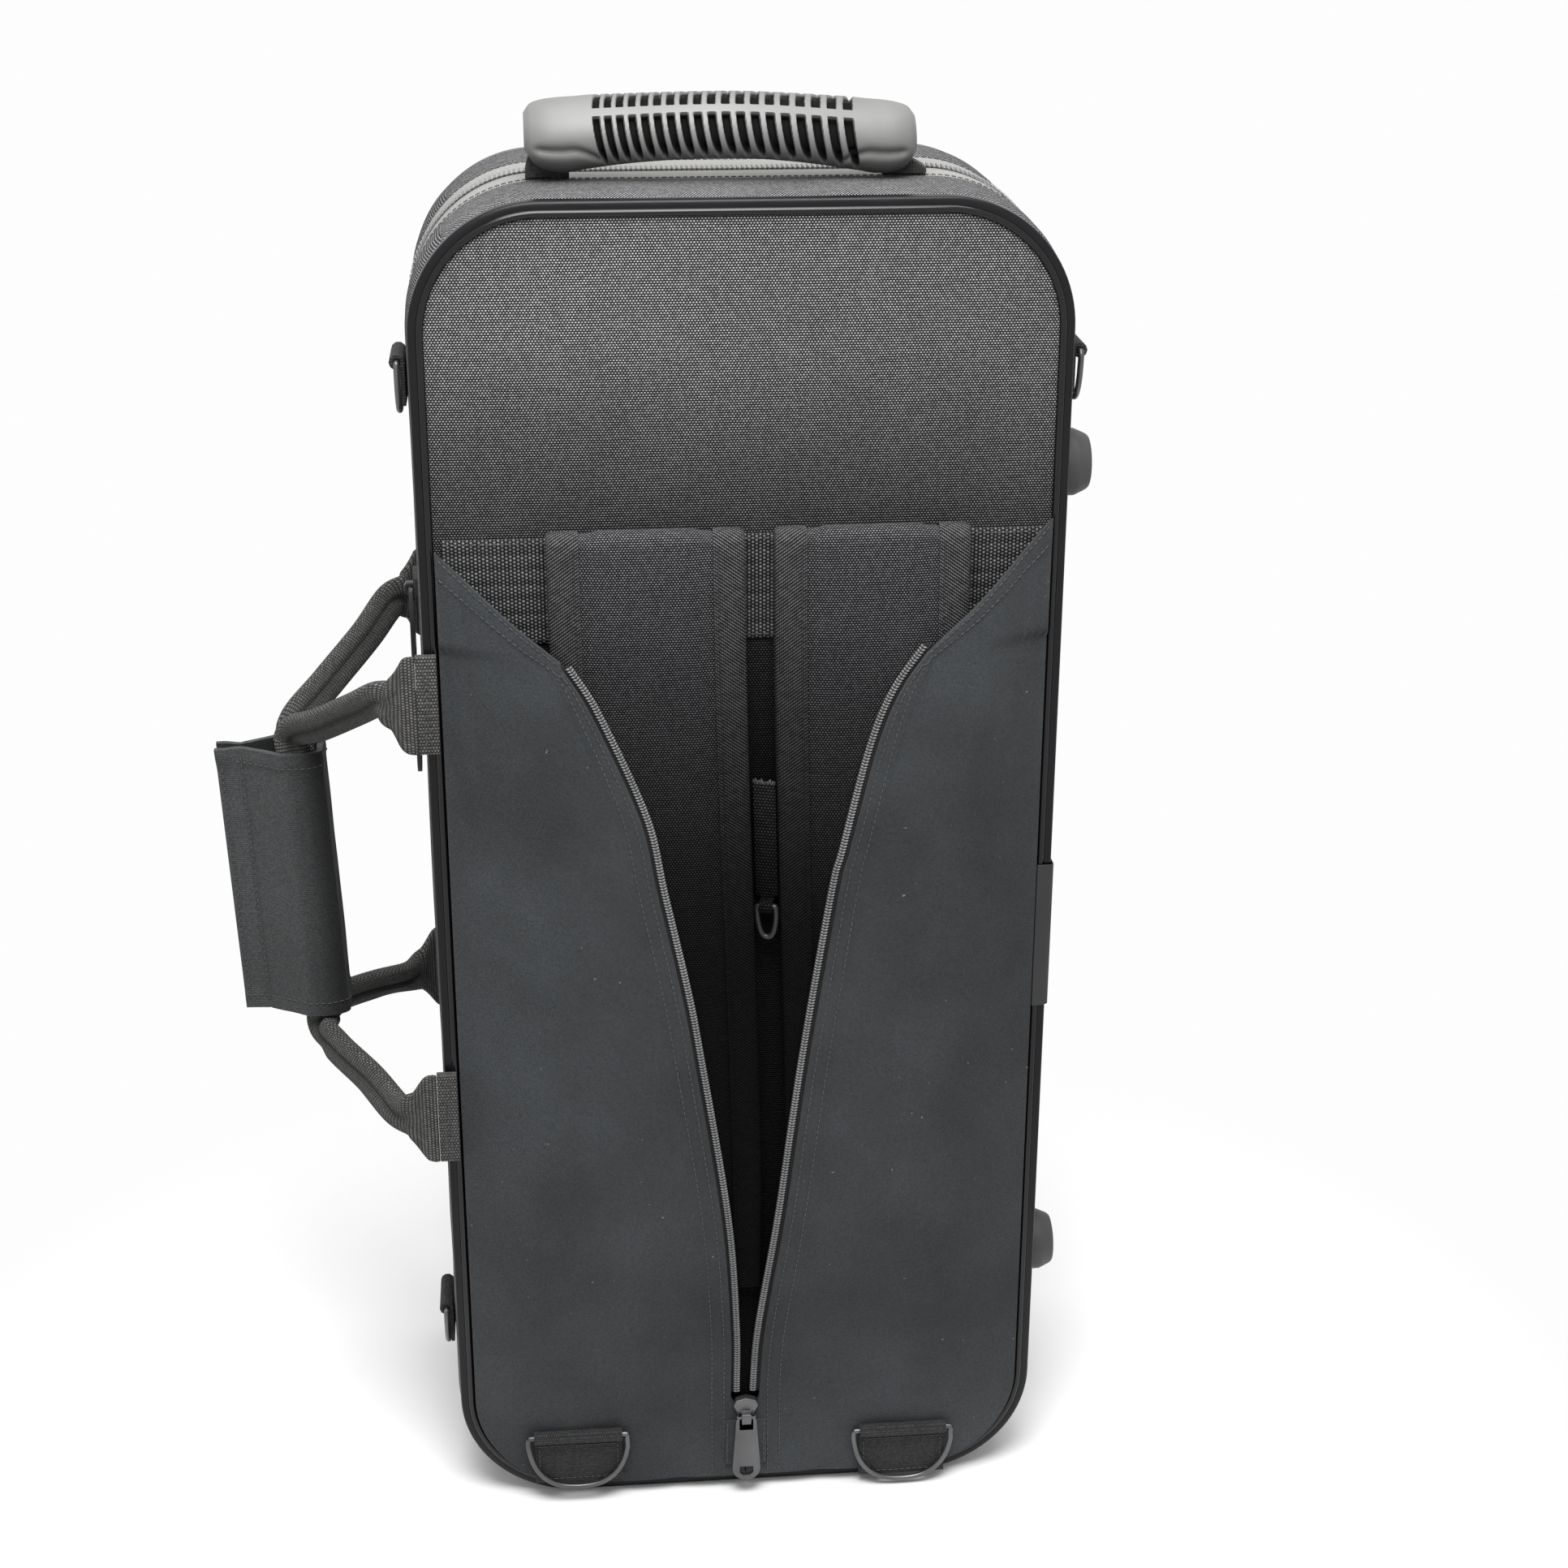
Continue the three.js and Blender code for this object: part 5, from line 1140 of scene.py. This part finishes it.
class Flap:
    def __init__(self, name):
        self.line, self.side = coilLines[name], sideOf[name]
        self.top, self.freeTop = atShare(flap["hemTop"][name]), atShare(flap["zipTop"])
        self.tall = self.top - flap["margin"]

    def point(self, across, up, offset=flap["thickness"]):
        edgeZ, freeZ = (mix(flap["margin"], top, up) for top in (self.top, self.freeTop))
        away = pocketZip["coilWidth"] / 2 + pocketZip["tapeWidth"] - pocketZip["overlap"]
        freeX = lookUp(self.line, freeZ / caseTop) + self.side * away
        joined = smooth((freeZ / caseTop - patchShare) / 0.021)
        freeX = mix(pocketSlider["x"] + self.side * gap, freeX, joined)
        x, z = mix(self.side * innerEdge(edgeZ), freeX, across), mix(edgeZ, freeZ, across)
        size = flap["creaseSize"]
        crease = flap["crease"] * (0.5 + 0.5 * wander(x * 1.6, 7 * self.side, z * 0.5, size * 1.4))
        crease += 0.5 * flap["crease"] * abs(wander(x * 2, 3, z * 0.6, size))
        crease *= smooth(across / 0.12) * smooth((z - flap["margin"]) / 40)
        hem = flap["hemRise"] * smooth((flap["hem"] - (1 - up) * self.tall) / 1.4 + 0.5)
        hem = max(hem, 0.6 * flap["hemRise"] * smooth((flap["freeHem"] - abs(x - freeX)) / 1.2 + 0.5))
        return xyz(x, flapHeight(x, z) - offset - (crease + hem if offset else 0.3 * crease), z)

    def surface(self):
        across = shares(flap["columns"])
        rings = []
        for up in shares(flap["rows"]):
            back = [self.point(t, up, 0.0) for t in across]
            rings.append(back + [self.point(t, up) for t in across[::-1]])
        return loft(rings)

    def hemRow(self, fromTop):
        return [self.point(mix(0.02, 0.97, t), 1 - fromTop / self.tall) for t in shares(60)]

    def freeRow(self, fromFree):
        path = []
        for up in (mix(0.09, 0.985, t) for t in shares(119)):
            wide = (self.point(1, up, 0.0) - self.point(0, up, 0.0)).length
            path.append(self.point(1 - fromFree / wide, up))
        path = [p for p in path if p.z > flap["straight"]]
        foot = path[0].x
        for z in (0.7 * flap["straight"], 0.4 * flap["straight"], flap["margin"] + 2):
            up = (z - flap["margin"]) / self.tall
            start, end = self.point(0, up, 0.0).x, self.point(1, up, 0.0).x
            path.insert(0, self.point((foot - start) / (end - start), up))
        return path


def makeFlap(name):
    shape, nodes = Flap(name), ["pocket_flap_" + name]
    for fromTop in (flap["hem"], 1.6):
        stitchRow(shape.hemRow(fromTop))
    for fromFree in (3.2, 8.6):
        stitchRow(shape.freeRow(fromFree))
    surface = shape.surface()
    return piece("pocketFlap_" + name, surface, "pocketCloth", "body", nodes, 50, True)


# Zip of the pocket: a tape with a cord line and slanted teeth on each flap's free edge


def zipHalf(name):
    side, line, half = sideOf[name], coilLines[name], pocketZip["coilWidth"] / 2
    far = half + pocketZip["tapeWidth"]
    offsets = [half - 0.6, half + 0.2, half + 0.7, half + 1.2, half + 2.4, far - 3, far]
    lifts = [0, 0, -0.45, 0, 0, 0, 0]
    rings, core, teeth = [], [], []
    for t in shares(pocketZip["steps"]):
        share = mix(pocketZip["foot"] / caseTop, line[-1][0], t)
        x, z = lookUp(line, share), atShare(share)

        def seatAt(offset, lift):
            return xyz(x + side * offset, flapHeight(x + side * offset, z) + 2 * gap + lift, z)

        front = [seatAt(offset, lift) for offset, lift in zip(offsets, lifts)]
        rings.append(front + [seatAt(offset, pocketZip["tape"]) for offset in offsets[::-1]])
        y = seatAt(half, 0).y
        corners = ((-0.8, 0.8), (-0.8, -0.2), (-0.3, -0.6), (0.3, -0.6), (0.8, -0.2), (0.8, 0.8))
        core.append([xyz(x + a * half, y + b, z) for a, b in corners])
        teeth.append(xyz(x, y - pocketZip["toothLift"], z))
    return loft(rings), loft(core), teeth


pocketTooth = unitOf("pocketTooth", capsule(1.65, 0.82, 0.95, 0.16))
flaps = {name: makeFlap(name) for name in sideOf}
for name in sideOf:
    node = "pocket_zip_" + name
    zipTape, zipCore, line = zipHalf(name)
    piece(node + "_tape", zipTape, "pocketTapeCloth", "body", [node], 60)
    piece(node + "_core", zipCore, "coilCore", "body", [node])
    rows = []
    for p, along, _ in spaced(line, pocketZip["pitch"]):
        wide = toFront.cross(along).normalized()
        for s in (-1, 1):
            slanted = (wide + s * pocketZip["slant"] * along).normalized()
            rows.append((p + wide * s * pocketZip["toothSide"], slanted, toFront))
    repeatUnit(node + "_teeth", rows, pocketTooth, "coilNylon", "body", [node], 0.03, 11)


def localBox(node):
    low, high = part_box(node)
    return low / mm - xyz(0, zipY, 0), high / mm - xyz(0, zipY, 0)


dressed("pocket_end_patch", "pocketCloth", "body", 0.4)
low, high = localBox("pocket_end_patch")
for x in (low.x + 1.2, high.x - 1.2):
    stitchRow([xyz(x, low.y, z) for z in (low.z + 1, high.z - 1)])
dressed("pocket_slider", "gunmetal", "pocket_zip_slider", 0.45, 3)
dressed("pocket_pull", "gunmetal", "pocket_zip_pull", 0.4, 3, (0, -1, 0))
for name in ("upper", "lower"):
    dressed("main_slider_" + name, "darkMetal", "main_zip_slider_" + name, 0.45, 3)
    dressed("main_pull_" + name, "darkMetal", "main_zip_pull_" + name, 0.4, 3, (-1, 0, 0))
print("pocket")


# Front and side rings with their tabs


def boxStitches(low, high, up, body="body", inset=2.0, cross=True):
    y = low.y if up.y < 0 else high.y
    xs, zs = (low.x + inset, high.x - inset), (low.z + inset, high.z - inset)
    square = [xyz(xs[i], y, zs[j]) for i, j in ((0, 0), (1, 0), (1, 1), (0, 1))]
    stitchRow(square + [square[0]], up, body)
    if cross:
        for i in (0, 1):
            stitchRow([square[i], square[i + 2]], up, body)


def ringOnTab(ring, at, tabNode, name, body, node, turn=0.0):
    dressed(tabNode, "ringWebbingCloth", "body", 0.35)
    made = placed(dRing(ring["width"], ring["drop"]), at, turn)
    piece(name, made, "gunmetal", body, [node], 80)


frontRing = {
    "width": 47.0, "drop": 28.0, "clear": 3.0, "sewn": 1.5, "fold": 6.5,
    "places": {"left": (-76.2, 0.0605), "right": (69.5, 0.051)},
}
for name, (x, share) in frontRing["places"].items():
    at = xyz(x, flapFront - 2 * gap - frontRing["clear"], atShare(share))
    ringOnTab(frontRing, at, "ring_tab_" + name, "dRing_" + name, "front_ring_" + name, "d_ring_" + name)
    low, high = localBox("ring_tab_" + name)
    low.y, high.z = high.y - frontRing["sewn"], high.z - frontRing["fold"]
    boxStitches(low, high, toFront, cross=False)
sideRing = {
    "width": 31.0, "drop": 22.0, "inset": 26.0, "clear": 3.0,
    "places": {"lower_left": (-1, 0.157), "upper_left": (-1, 0.892), "upper_right": (1, 0.892)},
}
for name, (side, share) in sideRing["places"].items():
    x = outerX + case["bulge"] + gap + sideRing["clear"]
    at, turn = xyz(side * x, frontY + sideRing["inset"], atShare(share)), side * math.pi / 2
    names = [kind + name for kind in ("side_tab_", "sideRing_", "wall_ring_", "side_ring_")]
    ringOnTab(sideRing, at, *names, turn)
print("rings")


# Side handle: two loops of folded webbing with a wrap round both

carry = {
    "upper": 0.661, "lower": 0.34, "width": 41.0, "reach": 5.0, "flat": 3.2, "roundWide": 14.5,
    "roundThin": 8.6, "gripX": 58.8, "gripY": 6.9, "lead": 7.0, "splay": 0.4, "hook": 1.78,
    "tabY": -73.4, "steps": 14, "groove": 1.3,
}
upperShares = [  # from the tab to the wrap: out, across, along, and how flat the webbing lies
    (0, 0, 0, 1), (0.06, 0.01, 0, 0.88), (0.15, 0.05, 0, 0.3),
    (0.27, 0.15, 0.02, 0.05), (0.46, 0.4, 0.3, 0), (0.75, 0.7, 0.68, 0),
]
lowerShares = [
    (0, 0, 0, 1), (0.06, 0.01, 0, 0.88), (0.17, 0.05, 0, 0.3),
    (0.3, 0.15, 0.02, 0.05), (0.52, 0.42, 0.45, 0), (0.8, 0.74, 0.82, 0),
]
wrap = {
    "bottom": 0.3755, "top": 0.588, "thickness": 2.2, "fin": 92.3, "lean": 4.6, "rows": 70,
    "hem": 7.0, "hemRise": 0.45, "parted": 2.4, "seamDepth": 0.5, "softness": 0.35, "softSize": 14,
    "rowInset": 6.2, "rowLift": 1.5,
}
wrapTop, wrapBottom = atShare(wrap["top"]), atShare(wrap["bottom"])
gripX = -outerX - carry["gripX"]


def carrySurface():
    x, lowX, lead, gripY = -outerX - carry["reach"], gripX + wrap["lean"], carry["lead"], -carry["gripY"]

    def rowsFrom(table, start, end):
        y = carry["tabY"]
        return [(mix(x, gripX, a), mix(y, gripY, b), mix(start, end, c), d) for a, b, c, d in table]

    rows = rowsFrom(upperShares, atShare(carry["upper"]), wrapTop + lead)
    rows += [(gripX, gripY, wrapTop + lead, 0), (gripX, gripY, wrapTop - lead, 0)]
    rows += [((gripX + lowX) / 2, gripY, (wrapTop + wrapBottom) / 2, 0)]
    rows += [(lowX, gripY, wrapBottom + lead, 0), (lowX, gripY, wrapBottom - lead, 0)]
    rows += rowsFrom(lowerShares, atShare(carry["lower"]), wrapBottom - lead)[::-1]
    line = spline([row[:3] for row in rows], carry["steps"])
    flatness = [clamped(value) for value in splineOf([row[3] for row in rows], carry["steps"])]
    hooks = [xyz(carry["hook"] * t, 0, 0) for t in (1.0, 0.55)]
    line = [line[0] + hook for hook in hooks] + line + [line[-1] + hook for hook in hooks[::-1]]
    flatness = [1.0, 1.0] + flatness + [1.0, 1.0]
    thinness = [0.2, 0.8] + [1.0] * (len(line) - 4) + [0.8, 0.2]

    def sectionAt(i):
        f = smooth(flatness[i]) * 0.4 + flatness[i] * 0.6
        wide, thin = mix(carry["roundWide"], carry["width"], f), mix(carry["roundThin"], carry["flat"], f)
        groove = carry["groove"] * (1 - f)
        return [
            (w, (t - math.copysign(groove * smooth(1 - abs(w) / 1.6), t)) * thinness[i])
            for w, t in ovalSection(wide, thin, 40, mix(0.75, 0.3, f))
        ]

    return sweep(line, sectionAt, lambda i: xyz(carry["splay"] * flatness[i], 1, 0), sampleAt=0.03)


def normalsOf(line):
    return [xyz(along.y, -along.x, 0) for along in tangents(line)]


def wrapSurface():
    t, tip = wrap["thickness"], -outerX - wrap["fin"]
    side = carry["roundWide"] / 2 + 3 * gap + t / 2
    left, right, middle = gripX - side, gripX + side, -gap - t / 2
    seam = mix(tip, left, 0.45)
    path = [(tip, middle), (mix(tip, seam, 0.5), middle - 0.3), (seam, -2.5), (mix(seam, left, 0.45), -5.6)]
    path += [(left - 1.5, -8.8), (gripX - 4.6, -12.7), (gripX, -12.9), (gripX + 4.6, -12.7)]
    path += [(right + 0.9, -9.5), (right + 1.1, -5.0), (right + 1.1, -gap)]
    line = spline([(x, y, 0) for x, y in path], 7)
    rings = []
    for share in shares(wrap["rows"]):
        z = mix(wrapTop, wrapBottom, share)
        fromEnd = min(share, 1 - share) * (wrapTop - wrapBottom)
        hem = wrap["hemRise"] * smooth((wrap["hem"] - fromEnd) / 1.2 + 0.5)
        outer, inner = [], []
        for p, normal in zip(line, normalsOf(line)):
            finSeam = -wrap["seamDepth"] * smooth(1 - abs(p.x - seam) / 1.2)
            soft = wrap["softness"] * wander(p.x, p.y, z * 0.6, wrap["softSize"]) * smooth((-1.6 - p.y) / 3)
            parted = wrap["parted"] * smooth((seam - p.x) / 8) * smooth(1 - share / 0.1)
            at = xyz(p.x + wrap["lean"] * share, p.y - parted, z)
            outer.append(at + normal * (t / 2 + hem + soft + finSeam))
            inner.append(at - normal * t / 2)
        rings.append([xyz(q.x, min(q.y, -gap), q.z) for q in outer + inner[::-1]])
    return loft(rings), line, seam


for name, (owner, sign) in zip(("front", "rear"), halves):
    body, loopNode, wrapNode = "carry_" + name, ["carry_loop_" + name], ["carry_wrap_" + name]
    made = turned(carrySurface(), sign)
    piece("carryLoop_" + name, made, "carryWebbingCloth", body, loopNode, 60)
    made, line, seam = wrapSurface()
    leaf = piece("carryWrap_" + name, turned(made, sign), "wrapCloth", body, wrapNode, 60)
    arc = line[:-10]
    ups = [xyz(n.x, -sign * n.y, 0) for n in normalsOf(arc)]
    for z, lean in ((wrapTop - wrap["rowInset"], 0), (wrapBottom + wrap["rowInset"], wrap["lean"])):
        row = [xyz(p.x + lean, sign * abs(p.y), z) + up * wrap["rowLift"] for p, up in zip(arc, ups)]
        stitchRow(row, ups, body)
    for x, y in ((line[0].x + 2.2, line[2].y - 1.7), (seam - 0.4, -4.1)):
        ends = [xyz(x + wrap["lean"] * t, sign * abs(y), mix(wrapTop, wrapBottom, t)) for t in (0.03, 0.97)]
        stitchRow(ends, xyz(0, sign, 0), body)
    for share in ("upper", "lower"):
        node = "carry_tab_" + name + "_" + share
        dressed(node, "carryWebbingCloth", owner, 0.4)
        boxStitches(*localBox(node), xyz(0, sign, 0), owner, inset=3.0)
print("side handle")


# Rubber feet

foot = {
    "radius": 13.5, "rim": 10.0, "height": 10.5, "round": 1.4, "dish": 3.2, "dishRadius": 8.5,
    "inset": 26.0, "sides": 56, "heights": {"upper": 0.809, "lower": 0.181},
}


def footSurface(at):
    r, rim, high, edge = foot["radius"], foot["rim"], foot["height"], foot["round"]
    dish, floor = foot["dishRadius"], foot["height"] - foot["dish"]
    profile = [(0.4, 0), (r - 0.4, 0), (r, 0.4), (r, high * 0.42), (r - 0.3, high * 0.5)]
    profile += [(rim + 1.7, high - edge * 1.4), (rim + 1.1, high - edge * 0.6), (rim + 0.4, high - 0.15)]
    profile += [(rim - 0.3, high), (dish + 0.3, high), (dish - 0.4, high - 0.3), (dish - 1.6, floor + 0.4)]
    profile += [(dish - 2.6, floor), (0.4, floor)]
    turn = [math.tau * i / foot["sides"] for i in range(foot["sides"])]
    return loft([[at + xyz(up, r * math.cos(a), r * math.sin(a)) for a in turn] for r, up in profile])


for name, (owner, sign) in zip(("front", "rear"), halves):
    for level, share in foot["heights"].items():
        node = "foot_" + name + "_" + level
        at = xyz(outerX + case["bulge"] + gap, sign * (-frontY - foot["inset"]), atShare(share))
        piece(node + "_rubber", footSurface(at), "footRubber", owner, [node], 35)
print("feet")


# Sewing threads, one piece for each body and colour

threads = {"threadDark": ("thread", "webbing"), "threadDeep": ("threadDeep", "binding")}
for (body, look), rows in stitchesOf.items():
    word, slot = threads[look]
    repeatUnit("stitches_" + body + "_" + word, rows, stitchUnit, look, body, (), 0.08, 4)
    print("stitches", body, len(rows))


# Floor, light, background and the photograph's camera

stage = {
    "floor": 3.2, "floorFade": (0.2, 0.42), "floorGrey": 0.9, "sky": 0.62, "white": 0.985,
    "camera": (-80.99, -1000.15, 738.59), "yaw": 5.654, "pitch": 22.078, "roll": 0.22, "lens": 59.63,
    "lights": {  # place and target in metres, size, power
        "topLight": ((0.0, -0.5, 2.6), (0.0, 0.0, 0.3), 2.0, 50.0),
        "nearLight": ((-0.05, -0.45, 0.98), (0.0, 0.0, 0.48), 0.45, 6.0),
    },
}


def makeFloor():
    bpy.ops.mesh.primitive_plane_add(size=stage["floor"], location=(0, 0, -0.5 * mm))
    floor = bpy.context.object
    floor.name = "floor"
    made, tree, shader = newMaterial("paleFloor", (stage["floorGrey"],) * 3, 0.9, gloss=0.1)
    away = nodeOf(tree, "ShaderNodeVectorMath", {0: place(tree)}, operation="LENGTH").outputs["Value"]
    fade = ranged(tree, away, *stage["floorFade"], interpolation_type="SMOOTHSTEP")
    clear = nodeOf(tree, "ShaderNodeBsdfTransparent").outputs[0]
    both = nodeOf(tree, "ShaderNodeMixShader", {0: fade, 1: shader.outputs[0], 2: clear})
    tree.links.new(both.outputs[0], tree.nodes["Material Output"].inputs["Surface"])
    floor.data.materials.append(made)


# The camera sees a white background, while a softer one lights the case.
def makeSky():
    world = bpy.context.scene.world or bpy.data.worlds.new("studio")
    bpy.context.scene.world = world
    world.use_nodes = True
    sky = world.node_tree
    sky.nodes.clear()
    paths = nodeOf(sky, "ShaderNodeLightPath").outputs
    seen = calc(sky, "MAXIMUM", paths["Is Glossy Ray"], paths["Is Transmission Ray"])
    mixed = {0: calc(sky, "MAXIMUM", paths["Is Camera Ray"], seen)}
    for i, key in ((1, "sky"), (2, "white")):
        inputs = {"Color": (1, 1, 1, 1), "Strength": stage[key]}
        mixed[i] = nodeOf(sky, "ShaderNodeBackground", inputs).outputs[0]
    nodeOf(sky, "ShaderNodeOutputWorld", {0: nodeOf(sky, "ShaderNodeMixShader", mixed).outputs[0]})


def makeLights():
    for name, (at, target, size, power) in stage["lights"].items():
        data = bpy.data.lights.new(name, "AREA")
        data.shape, data.size, data.energy = "DISK", size, power
        lamp = addObject(name, data)
        lamp.location = at
        lamp.rotation_euler = (Vector(at) - Vector(target)).to_track_quat("Z", "Y").to_euler()


def makeCamera():
    data = bpy.data.cameras.new("photoCamera")
    data.sensor_width, data.lens = 36, stage["lens"]
    data.clip_start, data.clip_end = 0.05, 50
    camera = addObject("photoCamera", data)
    yaw, pitch, roll = (math.radians(stage[key]) for key in ("yaw", "pitch", "roll"))
    camera.matrix_world = Matrix.Translation(Vector(stage["camera"]) * mm)
    for angle, axis in ((-yaw, "Z"), (math.pi / 2 - pitch, "X"), (roll, "Z")):
        camera.matrix_world @= Matrix.Rotation(angle, 4, axis)
    bpy.context.scene.camera = camera


makeFloor()
makeSky()
makeLights()
makeCamera()
bpy.context.scene.view_settings.view_transform = "Standard"
